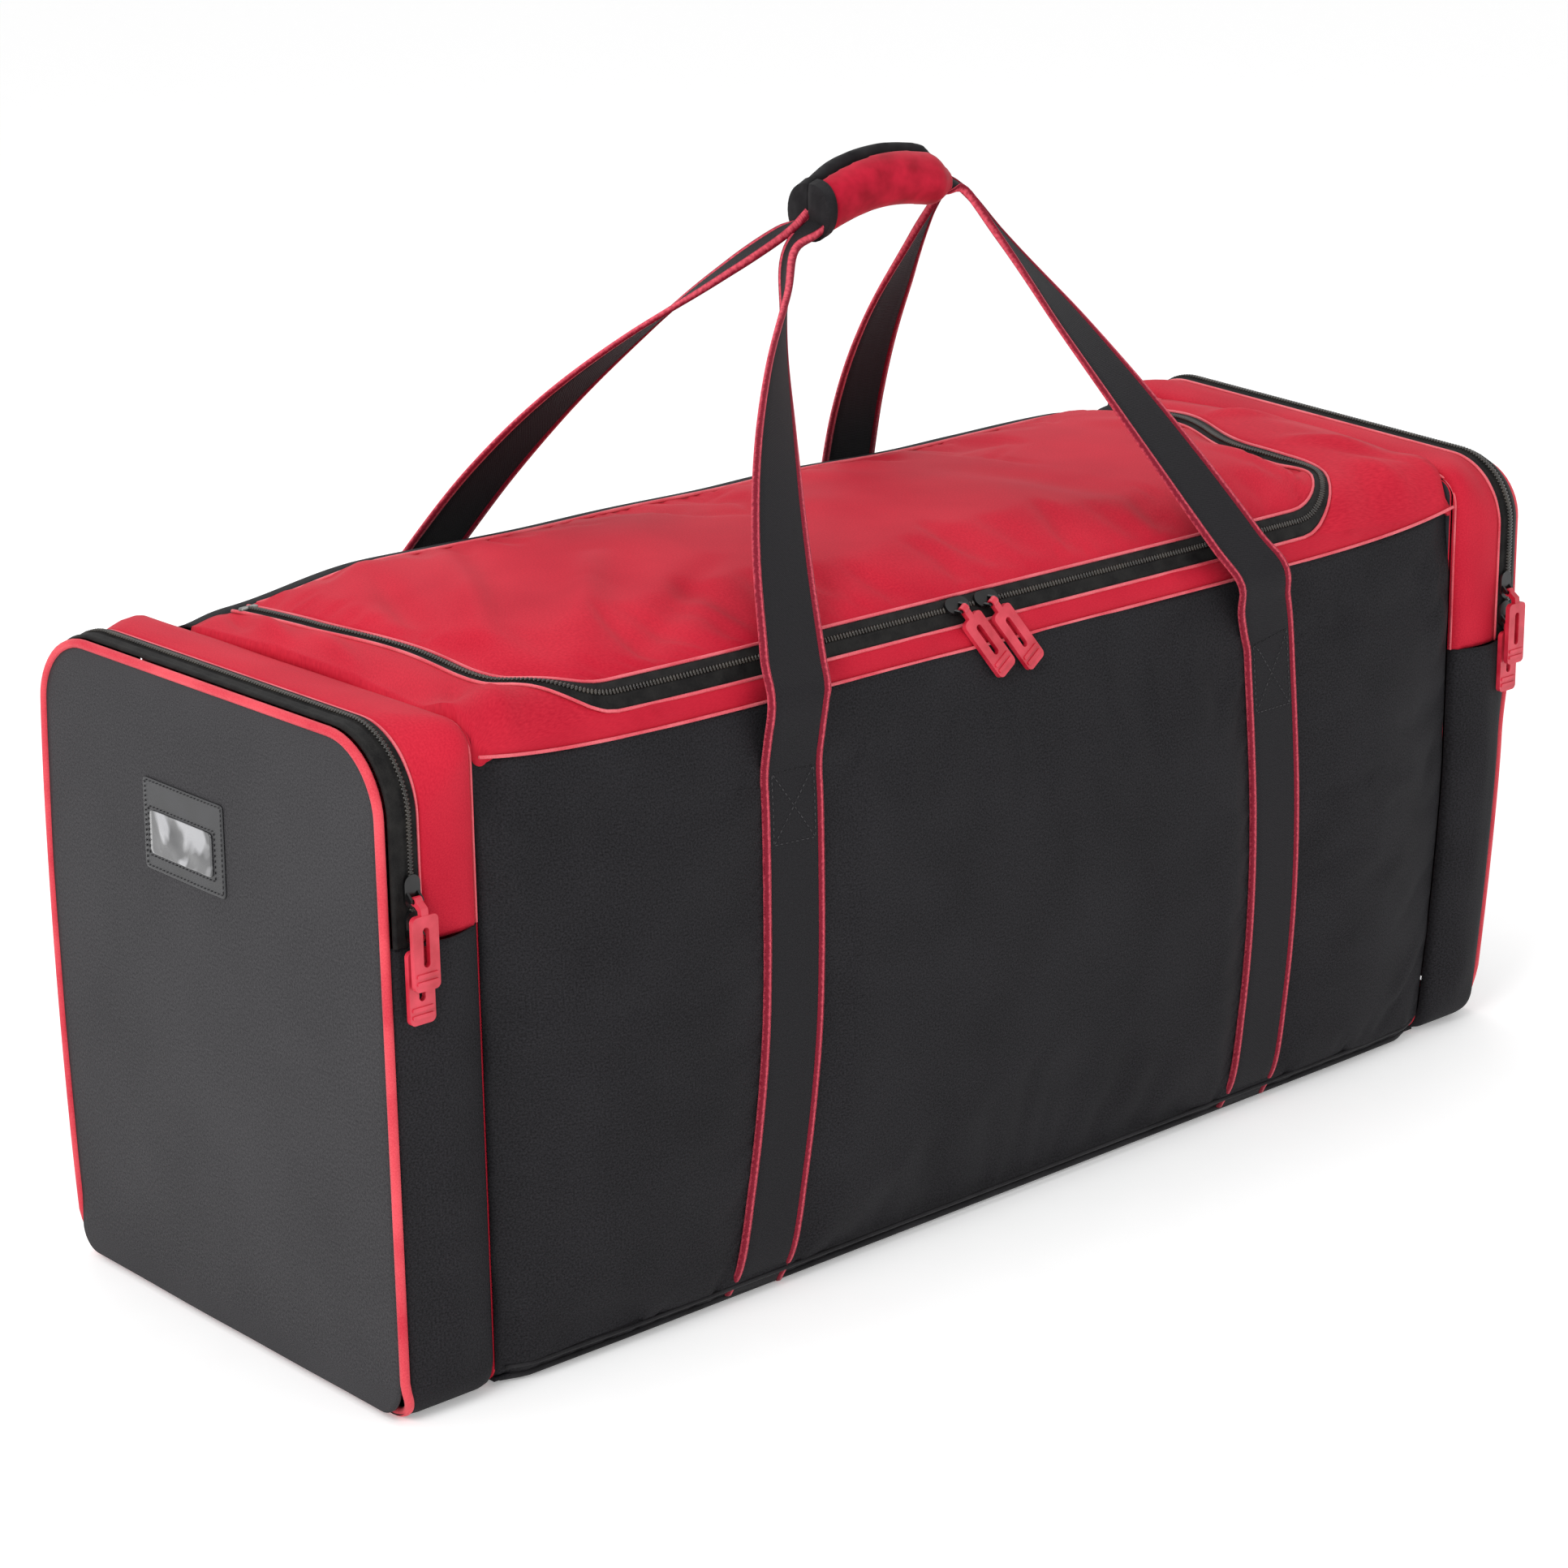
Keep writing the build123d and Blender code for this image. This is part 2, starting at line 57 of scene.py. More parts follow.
# ---- sizes taken from the frame -----------------------------------------------------------------
HALF_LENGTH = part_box("right_end_piping")[1].x
HALF_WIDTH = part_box("left_divider")[1].y
POCKET_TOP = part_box("left_divider")[1].z
BODY_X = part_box("front_panel")[1].x
POCKET_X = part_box("right_divider")[1].x
BAND_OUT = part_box("right_pocket_zip_door_tape")[1].x
BAND_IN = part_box("right_pocket_red_gusset")[1].x
RED_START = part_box("right_pocket_red_gusset")[0].z
PIPING = (HALF_LENGTH - BAND_OUT) / 2
COIL_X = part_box("right_pocket_zip_gusset_tape")[1].x + 0.3 * MM
TAPE = 7 * MM
LIP = 5.5 * MM  # the red cloth stops this far from the main zip's middle
POCKET_LIP = 6 * MM  # and reaches this far over the pocket zips' tapes
LID_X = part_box("main_zip_frame_tape")[1].x - TAPE
LID_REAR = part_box("lid_panel")[1].y
GRIP_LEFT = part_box("front_grip_binding")[0].x
GRIP_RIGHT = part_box("front_grip_pad")[1].x - 5 * MM
BINDING_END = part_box("front_grip_binding")[1].x - 6 * MM
GRIP_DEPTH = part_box("back_grip_pad")[1].y
HANDLE_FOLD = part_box("front_handle_strap")[0].z
HANDLE_Y = 191 * MM  # the handles fold about a line this far from the bag's middle

# ---- shaping values -----------------------------------------------------------------------------
WALL = 1.6 * MM
TOP_CORNER = 48 * MM
BOTTOM_CORNER = 22 * MM
LID_CORNER = 65 * MM
INNER_CORNER = 20 * MM  # the pockets' top corners are tighter where they meet the body
ZIP_Y = -160 * MM
SEAM_Y = -172.5 * MM
SEAM_Z = 387 * MM
SEAM_LIFT = 12 * MM  # the front seam climbs this much towards the pockets
BELLY = 15 * MM  # how far the stuffed front and back stand out at mid height
TUCK = 7 * MM  # depth of the groove beside each pocket
VALLEY = 5 * MM  # the red yoke dips this much where it meets a pocket
STRAP = 40 * MM
EDGING = 4 * MM
HEART = Vector((0, 0, 200 * MM))  # a point well inside the bag
TOP_LINE = (  # the bag's top in section, y and z, from the front seam over to the back face
    (-172.5, 387), (-160, 411), (-143, 426), (-115, 434), (-60, 439), (5, 441.5),
    (70, 440.5), (120, 436.5), (148, 428), (165, 410), (174, 385), (177, 350),
)


# ---- small geometry -----------------------------------------------------------------------------
def clamp(value, low=0.0, high=1.0):
    """The value, kept between low and high."""
    return max(low, min(high, value))


def ease(value):
    """0 to 1 with soft ends."""
    t = clamp(value)
    return t * t * (3 - 2 * t)


def mix(a, b, share):
    """The value a share of the way from a to b."""
    return a + (b - a) * share


def height_on(line, across):
    """Reads a section line of (across, height) pairs in millimetres, as a smooth curve, in metres."""
    u = clamp(across / MM, line[0][0], line[-1][0])
    i = max(k for k in range(len(line) - 1) if line[k][0] <= u)

    def slope(k):
        a, b = line[max(k - 1, 0)], line[min(k + 1, len(line) - 1)]
        return (b[1] - a[1]) / (b[0] - a[0])

    (x0, y0), (x1, y1) = line[i], line[i + 1]
    span = x1 - x0
    t = (u - x0) / span
    return MM * (
        (1 + 2 * t) * (1 - t) ** 2 * y0 + t * t * (3 - 2 * t) * y1
        + span * (t * (1 - t) ** 2 * slope(i) - t * t * (1 - t) * slope(i + 1))
    )


def lean(z):
    """How far the bag's right end has sunk inwards at a height."""
    return 21 * MM * clamp(1 - z / (210 * MM)) ** 1.4


def settled(point):
    """Where a point of the bag comes to rest: both ends have sunk a little under their own weight."""
    x, y, z = point
    pocket = ease((abs(x) - BODY_X) / (0.9 * MM))
    high = ease((z - 300 * MM) / (110 * MM))
    if x > 0:
        sunk = mix(10 * MM, -6 * MM, clamp((y + 130 * MM) / (280 * MM))) * pocket
        inwards = lean(z) * ease((x - 250 * MM) / (BODY_X - 250 * MM))
        outwards = 8 * MM * ease((z - 210 * MM) / (80 * MM)) * ease((x - BAND_IN) / (HALF_LENGTH - BAND_IN))
        return Vector((x - inwards + outwards, y, z - sunk * high))
    sunk = 11 * MM * ease((-x - 290 * MM) / (120 * MM)) * max(pocket, ease((y + 165 * MM) / (45 * MM)))
    swell = 12 * MM * sin(pi * clamp(z / POCKET_TOP)) ** 0.6 * pocket * ease(y / HALF_WIDTH)
    return Vector((x, y + swell, z - sunk * high))


def from_end(point):
    """Distance of a settled point on the front or back from the nearer end seam."""
    return min(BODY_X + point.x, BODY_X - lean(point.z) - point.x)


def drawn_in(x, y):
    """The main zip's right front corner is pulled towards the middle of the bag, its left rear outwards."""
    if x < 0:
        return x - 12 * MM * ease((-x - 250 * MM) / (120 * MM)) * ease((y + 70 * MM) / (100 * MM))
    return x - 43 * MM * ease((x - 190 * MM) / (140 * MM)) * ease((62 * MM - y) / (118 * MM))


def ridge(x, y, start, end, width, height):
    """Height at (x, y) of a soft fold that runs between two points and fades at both. Millimetres in."""
    ax, ay, bx, by = (value * MM for value in (*start, *end))
    dx, dy = bx - ax, by - ay
    along = ((x - ax) * dx + (y - ay) * dy) / (dx * dx + dy * dy)
    if not 0 < along < 1:
        return 0.0
    gap = ((x - ax) * dy - (y - ay) * dx) / hypot(dx, dy)
    return height * MM * sin(pi * along) * exp(-((gap / (width * MM)) ** 2))


def wander(x, y, size, seed=0.0):
    """Slow unevenness between about -1 and 1, with bumps about size across."""
    return noise.noise(Vector((x / size, y / size, seed)))


def arch(half, start, stop, radius, cells):
    """Points up one side, round a corner, across, round the other corner and back, as (across, along)."""
    way = 1 if stop > start else -1
    side, corner, middle = cells
    turn = stop - way * radius
    points = [(-half, mix(start, turn, i / side)) for i in range(side)]
    for i in range(corner):
        angle = pi / 2 * i / corner
        points.append((-half + radius - radius * cos(angle), turn + way * radius * sin(angle)))
    points += [(mix(-half + radius, half - radius, i / middle), stop) for i in range(middle)]
    for i in range(corner):
        angle = pi / 2 * i / corner
        points.append((half - radius + radius * sin(angle), turn + way * radius * cos(angle)))
    return points + [(half, mix(turn, start, i / side)) for i in range(side + 1)]


def smooth_route(points, step):
    """A Catmull-Rom curve through the points, resampled at even steps."""
    ends = [points[0] * 2 - points[1]] + list(points) + [points[-1] * 2 - points[-2]]
    fine = []
    for a, b, c, d in zip(ends, ends[1:], ends[2:], ends[3:]):
        slope, bend, twist = c - a, a * 2 - b * 5 + c * 4 - d, b * 3 - a - c * 3 + d
        for i in range(24):
            t = i / 24
            fine.append((b * 2 + slope * t + bend * t**2 + twist * t**3) / 2)
    fine.append(points[-1])
    return even_steps(fine, step)


def even_steps(line, step):
    """The same line with points at even distances."""
    reach = [0.0]
    for a, b in zip(line, line[1:]):
        reach.append(reach[-1] + (b - a).length)
    count = max(2, round(reach[-1] / step))
    even, k = [], 0
    for i in range(count + 1):
        want = reach[-1] * i / count
        while k < len(line) - 2 and reach[k + 1] < want:
            k += 1
        even.append(line[k].lerp(line[k + 1], clamp((want - reach[k]) / max(reach[k + 1] - reach[k], 1e-9))))
    return even


def seam_lift(x):
    """How far the front seam has climbed, close to the bag's ends only."""
    return SEAM_LIFT * clamp(abs(x) / BODY_X) ** 7


def top_z(x, y):
    """Outer height of the bag's top fabric. A shallow gully runs just inside the right end of the zip."""
    lift = seam_lift(x) * (1 - ease((y - SEAM_Y) / (60 * MM)))
    valley = VALLEY * ease((abs(x) - BODY_X + 38 * MM) / (38 * MM)) * ease((y + 165 * MM) / (60 * MM))
    uneven = 2.4 * MM * wander(x, y, 120 * MM) * ease((y - ZIP_Y) / (70 * MM))
    beside_zip = x - drawn_in(LID_X, y) + 15 * MM if x > 0 else 1.0
    gully = 10 * MM * exp(-((beside_zip / (19 * MM)) ** 2)) * ease((y + 135 * MM) / (50 * MM))
    return height_on(TOP_LINE, y) + lift - valley + uneven - gully


def seam_z(x):
    """Height of the seam between the black front and the red yoke."""
    return SEAM_Z + seam_lift(x)


def face_y(x, z, turn):
    """Outer face of the front (turn -1) or back (turn 1) panel below its shoulder."""
    inside = BODY_X - abs(x)
    belly = BELLY * sin(pi * clamp(z / (400 * MM)) ** 0.85) * ease(inside / (110 * MM))
    groove = TUCK * (1 - ease(inside / (26 * MM)))
    hem = 9 * MM * (1 - ease(z / (16 * MM)))
    shoulder = (HALF_WIDTH + SEAM_Y) * ease((z - 345 * MM) / (45 * MM))
    uneven = 1.2 * MM * wander(x, z, 110 * MM, 5.0) * ease(inside / (50 * MM)) * ease(z / (50 * MM))
    return turn * (HALF_WIDTH + belly - groove - hem - shoulder + uneven)


# ---- pieces from grids and carried sections -----------------------------------------------------
def publish(bm, name, materials, body=None):
    """Turns a bmesh into a settled, named object; a body makes it ride there at once."""
    for vert in bm.verts:
        vert.co = settled(vert.co)
    mesh = bpy.data.meshes.new(name)
    bm.to_mesh(mesh)
    bm.free()
    mesh.shade_smooth()
    piece = bpy.data.objects.new(name, mesh)
    bpy.context.scene.collection.objects.link(piece)
    for material in materials:
        mesh.materials.append(material)
    if body:
        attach(piece, body)
    return piece


def cloth_grid(cells, place, size):
    """A grid of cloth. place(u, v) gives its points for u and v in 0..1; size is its cut, for the weave."""
    bm = bmesh.new()
    bmesh.ops.create_grid(bm, x_segments=cells[0], y_segments=cells[1], size=0.5)
    weave = bm.loops.layers.uv.new("UVMap")
    for face in bm.faces:
        for loop in face.loops:
            u, v = loop.vert.co.x + 0.5, loop.vert.co.y + 0.5
            loop[weave].uv = (u * size[0], v * size[1])
    for vert in bm.verts:
        vert.co = place(clamp(vert.co.x + 0.5), clamp(vert.co.y + 0.5))
    bm.normal_update()
    outward = sum(f.normal.dot(f.calc_center_median() - HEART) * f.calc_area() for f in bm.faces)
    if outward < 0:
        bmesh.ops.reverse_faces(bm, faces=bm.faces)
    return bm


def lined(piece, wall=WALL):
    """Gives a sheet its thickness inwards; the inner side shows the coated lining."""
    piece.data.materials.append(MATERIALS["coated_lining"])
    wall_modifier = piece.modifiers.new("wall", "SOLIDIFY")
    wall_modifier.thickness = wall
    wall_modifier.offset = -1
    wall_modifier.use_even_offset = False
    wall_modifier.material_offset = 1
    return piece


def frames(route, across, twist=lambda share: 0.0):
    """For each point of a route: the point, the direction across it and the direction out of it."""
    count = len(route) - 1
    made = []
    for i, point in enumerate(route):
        ahead = (route[min(i + 1, count)] - route[max(i - 1, 0)]).normalized()
        wide = (across - ahead * across.dot(ahead)).normalized()
        wide = Quaternion(ahead, twist(i / count)) @ wide
        made.append((point, wide, wide.cross(ahead).normalized()))
    return made


def carried(stations, section, scale=lambda share: (1.0, 1.0), shift=0.0, closed=False):
    """A closed section of (across, out) points carried along stations, as a solid."""
    count = len(stations) - 1
    girth = [0.0]
    ring = list(section) + [section[0]]
    for a, b in zip(ring, ring[1:]):
        girth.append(girth[-1] + hypot(b[0] - a[0], b[1] - a[1]))
    reach = [0.0]
    for a, b in zip(stations, stations[1:]):
        reach.append(reach[-1] + (b[0] - a[0]).length)
    bm = bmesh.new()
    bmesh.ops.create_grid(bm, x_segments=len(section), y_segments=count, size=0.5)
    weave = bm.loops.layers.uv.new("UVMap")
    spot = {}
    for vert in bm.verts:
        spot[vert.index] = (round((vert.co.x + 0.5) * len(section)), round((vert.co.y + 0.5) * count))
    for face in bm.faces:
        for loop in face.loops:
            i, j = spot[loop.vert.index]
            loop[weave].uv = (girth[i], reach[j])
    for vert in bm.verts:
        i, j = spot[vert.index]
        centre, wide, out = stations[j]
        wider, thicker = scale(j / count)
        vert.co = centre + wide * (ring[i][0] + shift) * wider + out * ring[i][1] * thicker
    bmesh.ops.remove_doubles(bm, verts=bm.verts, dist=1e-6)
    if not closed:
        rims = [edge for edge in bm.edges if edge.is_boundary]
        bmesh.ops.holes_fill(bm, edges=rims, sides=0)
    bmesh.ops.recalc_face_normals(bm, faces=bm.faces)
    return bm


def round_section(radius, sides, flat=1.0):
    """A round or flattened cord section."""
    turns = [2 * pi * i / sides for i in range(sides)]
    return [(radius * cos(turn), radius * flat * sin(turn)) for turn in turns]


def band_section(width, thick):
    """A flat band with rounded edges."""
    half, round_off = width / 2, thick / 2
    section = []
    for way in (1, -1):
        for i in range(5):
            angle = pi / 2 - pi * i / 4
            section.append((way * (half - round_off + round_off * cos(angle)), way * round_off * sin(angle)))
        for i in range(1, 6):
            section.append((way * mix(half - round_off, round_off - half, i / 6), -way * round_off))
    return section


def bead(name, route, material, body, radius, flat=0.8):
    """A thin folded or stitched edge along a route."""
    stations = frames(route, Vector((0.31, 0.53, 0.79)))
    return publish(carried(stations, round_section(radius, 6, flat)), name, [material], body)


def billow(piece, sewn, pressure, spare, cap):
    """Lets a panel blow out between its seams, as on a stuffed bag. sewn(point) is 1 where it is held."""
    steps = 20
    held = piece.vertex_groups.new(name="sewn")
    for vert in piece.data.vertices:
        held.add([vert.index], clamp(sewn(vert.co)), "REPLACE")
    rest = [vert.co.copy() for vert in piece.data.vertices]
    cloth = piece.modifiers.new("cloth", "CLOTH")
    cloth.settings.quality = 6
    cloth.settings.mass = 0.25
    cloth.settings.tension_stiffness = 22
    cloth.settings.compression_stiffness = 22
    cloth.settings.shear_stiffness = 12
    cloth.settings.bending_stiffness = 1.2
    cloth.settings.vertex_group_mass = "sewn"
    cloth.settings.use_pressure = True
    cloth.settings.uniform_pressure_force = pressure
    cloth.settings.shrink_min = -spare
    cloth.settings.effector_weights.gravity = 0.0
    cloth.point_cache.frame_start = 1
    cloth.point_cache.frame_end = steps
    for step in range(1, steps + 1):
        bpy.context.scene.frame_set(step)
    blown = piece.evaluated_get(bpy.context.evaluated_depsgraph_get()).to_mesh()
    moves = [blown.vertices[i].co - start for i, start in enumerate(rest)]
    piece.evaluated_get(bpy.context.evaluated_depsgraph_get()).to_mesh_clear()
    piece.modifiers.remove(cloth)
    piece.vertex_groups.clear()
    bpy.context.scene.frame_set(1)
    for vert, start, move in zip(piece.data.vertices, rest, moves):
        if move.length > cap:
            move = move * (cap / move.length)
        vert.co = start + move


# ---- materials ----------------------------------------------------------------------------------
def colour(code):
    """An sRGB hex colour as linear RGBA."""
    parts = [int(code[i:i + 2], 16) / 255 for i in (1, 3, 5)]
    return (*[p / 12.92 if p <= 0.04045 else ((p + 0.055) / 1.055) ** 2.4 for p in parts], 1.0)


def add(tree, kind, feeds=None, **settings):
    """Adds one node with its settings; feeds maps an input to a value or to the socket that feeds it."""
    node = tree.nodes.new(kind)
    for key, value in settings.items():
        setattr(node, key, value)
    for key, value in (feeds or {}).items():
        if isinstance(value, bpy.types.NodeSocket):
            tree.links.new(value, node.inputs[key])
        else:
            node.inputs[key].default_value = value
    return node


def blank(name, **values):
    """A material with a Principled shader whose plain values are set on its own sockets."""
    material = bpy.data.materials.new(name)
    material.use_nodes = True
    tree = material.node_tree
    shader = tree.nodes["Principled BSDF"]
    for key, value in values.items():
        shader.inputs[key.replace("_", " ")].default_value = value
    return material, tree, shader


def woven(name, dark, light, pitch, relief, rough, sheen, patch=60.0, speck=0.35, shine=0.12):
    """Plain-woven synthetic cloth: crossing threads pitch apart, with slow patches of tone."""
    material, tree, shader = blank(
        name, Roughness=rough, Sheen_Weight=sheen, Sheen_Roughness=0.45, Specular_IOR_Level=shine
    )
    place = add(tree, "ShaderNodeTexCoord")
    split = add(tree, "ShaderNodeSeparateXYZ", {0: place.outputs["UV"]})
    threads = []
    for axis in ("X", "Y"):
        turns = add(tree, "ShaderNodeMath", {0: split.outputs[axis], 1: 2 * pi / pitch}, operation="MULTIPLY")
        threads.append(add(tree, "ShaderNodeMath", {0: turns.outputs[0]}, operation="SINE"))
    crossing = {0: threads[0].outputs[0], 1: threads[1].outputs[0]}
    weave = add(tree, "ShaderNodeMath", crossing, operation="MULTIPLY")
    slub = add(tree, "ShaderNodeTexNoise", {"Vector": place.outputs["UV"], "Scale": 1 / pitch, "Detail": 2.0})
    mixed = {0: weave.outputs[0], 1: 0.5, 2: slub.outputs["Fac"]}
    height = add(tree, "ShaderNodeMath", mixed, operation="MULTIPLY_ADD")
    bump = add(tree, "ShaderNodeBump", {"Height": height.outputs[0], "Distance": relief, "Strength": 0.4})
    patches = {"Vector": place.outputs["Object"], "Scale": 1 / (patch * MM), "Detail": 3.0}
    drift = add(tree, "ShaderNodeTexNoise", patches)
    slow = add(tree, "ShaderNodeMath", {0: drift.outputs["Fac"], 1: 1 - speck}, operation="MULTIPLY")
    specks = {0: slub.outputs["Fac"], 1: speck, 2: slow.outputs[0]}
    tone = add(tree, "ShaderNodeMath", specks, operation="MULTIPLY_ADD")
    ramp = add(tree, "ShaderNodeValToRGB", {"Fac": tone.outputs[0]})
    ramp.color_ramp.elements[0].position = 0.34
    ramp.color_ramp.elements[0].color = colour(dark)
    ramp.color_ramp.elements[1].position = 0.66
    ramp.color_ramp.elements[1].color = colour(light)
    tree.links.new(ramp.outputs["Color"], shader.inputs["Base Color"])
    tree.links.new(bump.outputs["Normal"], shader.inputs["Normal"])
    return material


def webbing_ribs():
    """Black polyester webbing: close ribs across the strap, a dull sheen and a little fuzz."""
    material, tree, shader = blank(
        "black_webbing", Roughness=0.72, Sheen_Weight=0.03, Sheen_Roughness=0.5, Specular_IOR_Level=0.12
    )
    place = add(tree, "ShaderNodeTexCoord")
    split = add(tree, "ShaderNodeSeparateXYZ", {0: place.outputs["UV"]})
    rib = 1.7 * MM  # drawn a little coarser than the real 1.1 mm rib so that it shows
    cell = 2.4 * MM
    slant = add(tree, "ShaderNodeMath", {0: split.outputs["Y"], 1: 2 * pi / rib}, operation="MULTIPLY")
    slanted = {0: split.outputs["X"], 1: 2 * pi / cell, 2: slant.outputs[0]}
    across = add(tree, "ShaderNodeMath", slanted, operation="MULTIPLY_ADD")
    waves = add(tree, "ShaderNodeMath", {0: across.outputs[0]}, operation="SINE")
    fuzz = add(tree, "ShaderNodeTexNoise", {"Vector": place.outputs["UV"], "Scale": 900.0, "Detail": 2.0})
    mixed = {0: waves.outputs[0], 1: 0.5, 2: fuzz.outputs["Fac"]}
    height = add(tree, "ShaderNodeMath", mixed, operation="MULTIPLY_ADD")
    bump = add(tree, "ShaderNodeBump", {"Height": height.outputs[0], "Distance": 0.25 * MM, "Strength": 0.7})
    ramp = add(tree, "ShaderNodeValToRGB", {"Fac": fuzz.outputs["Fac"]})
    ramp.color_ramp.elements[0].color = colour("#0f0e10")
    ramp.color_ramp.elements[1].color = colour("#2b2a2d")
    tree.links.new(ramp.outputs["Color"], shader.inputs["Base Color"])
    tree.links.new(bump.outputs["Normal"], shader.inputs["Normal"])
    return material


def strap_edging():
    """Red grosgrain binding, ribbed along its length; painted highlight: its colour brightens to pink at both
    rounded edges of the band, with deeper red in the middle.
    """
    material, tree, shader = blank(
        "red_edging", Roughness=0.6, Sheen_Weight=0.04, Sheen_Roughness=0.4, Specular_IOR_Level=0.2
    )
    place = add(tree, "ShaderNodeTexCoord")
    split = add(tree, "ShaderNodeSeparateXYZ", {0: place.outputs["UV"]})
    ribs = add(tree, "ShaderNodeMath", {0: split.outputs["Y"], 1: 2 * pi / (1.5 * MM)}, operation="MULTIPLY")
    wave = add(tree, "ShaderNodeMath", {0: ribs.outputs[0]}, operation="SINE")
    bump = add(tree, "ShaderNodeBump", {"Height": wave.outputs[0], "Distance": 0.2 * MM, "Strength": 0.5})
    fray = add(tree, "ShaderNodeTexNoise", {"Vector": place.outputs["UV"], "Scale": 420.0, "Detail": 3.0})
    round_turn = 2 * pi / (6.54 * MM)  # painted highlight at both edges of the band, in one turn of its girth
    around = {0: split.outputs["X"], 1: round_turn, 2: -round_turn * 2.67 * MM}
    girth = add(tree, "ShaderNodeMath", around, operation="MULTIPLY_ADD")
    edge_highlight = add(tree, "ShaderNodeMath", {0: girth.outputs[0]}, operation="COSINE")
    highlight_and_fray = {0: edge_highlight.outputs[0], 1: 0.35, 2: fray.outputs["Fac"]}
    edge = add(tree, "ShaderNodeMath", highlight_and_fray, operation="MULTIPLY_ADD")
    # painted highlight: the pink end of the ramp falls along both edges of the band
    ramp = add(tree, "ShaderNodeValToRGB", {"Fac": edge.outputs[0]})
    ramp.color_ramp.elements[0].position = 0.3
    ramp.color_ramp.elements[0].color = colour("#7d0a24")
    ramp.color_ramp.elements[1].position = 1.0
    ramp.color_ramp.elements[1].color = colour("#ea5a6c")
    tree.links.new(ramp.outputs["Color"], shader.inputs["Base Color"])
    tree.links.new(bump.outputs["Normal"], shader.inputs["Normal"])
    return material


def moulded(name, dark, light, rough, coat, grain, metal=0.0):
    """A smooth moulded or cast finish with a fine grain and slightly rubbed patches scattered at random."""
    material, tree, shader = blank(name, Metallic=metal, Coat_Weight=coat, Coat_Roughness=0.25)
    place = add(tree, "ShaderNodeTexCoord")
    spot = place.outputs["Object"]
    fine = add(tree, "ShaderNodeTexNoise", {"Vector": spot, "Scale": 1 / grain, "Detail": 3.0})
    worn = add(tree, "ShaderNodeTexNoise", {"Vector": spot, "Scale": 60.0, "Detail": 4.0})
    ramp = add(tree, "ShaderNodeValToRGB", {"Fac": worn.outputs["Fac"]})
    ramp.color_ramp.elements[0].position = 0.35
    ramp.color_ramp.elements[0].color = colour(dark)
    ramp.color_ramp.elements[1].position = 0.75
    ramp.color_ramp.elements[1].color = colour(light)
    gloss = {"Value": worn.outputs["Fac"], "To Min": rough - 0.08, "To Max": rough + 0.1}
    shine = add(tree, "ShaderNodeMapRange", gloss)
    grit = {"Height": fine.outputs["Fac"], "Distance": 0.08 * MM, "Strength": 0.35}
    bump = add(tree, "ShaderNodeBump", grit)
    tree.links.new(ramp.outputs["Color"], shader.inputs["Base Color"])
    tree.links.new(shine.outputs[0], shader.inputs["Roughness"])
    tree.links.new(bump.outputs["Normal"], shader.inputs["Normal"])
    return material


def clear_vinyl():
    """Clear PVC film over the card: glossy, with soft waves that break up the light; painted reflection: pale
    grey streaks along the waves in its dark grey colour.
    """
    material, tree, shader = blank("clear_vinyl", Roughness=0.12, Coat_Weight=1.0, Coat_Roughness=0.05)
    place = add(tree, "ShaderNodeTexCoord")
    waves = add(
        tree, "ShaderNodeTexNoise",
        {"Vector": place.outputs["Object"], "Scale": 24.0, "Detail": 2.5, "Distortion": 1.2},
    )
    # painted reflection: the narrow ramp turns the waves into pale streaks of reflected light
    ramp = add(tree, "ShaderNodeValToRGB", {"Fac": waves.outputs["Fac"]})
    ramp.color_ramp.elements[0].position = 0.47
    ramp.color_ramp.elements[0].color = colour("#343436")
    ramp.color_ramp.elements[1].position = 0.56
    ramp.color_ramp.elements[1].color = colour("#98989b")
    bump = add(tree, "ShaderNodeBump", {"Height": waves.outputs["Fac"], "Distance": 3 * MM, "Strength": 0.6})
    tree.links.new(ramp.outputs["Color"], shader.inputs["Base Color"])
    tree.links.new(bump.outputs["Normal"], shader.inputs["Normal"])
    return material


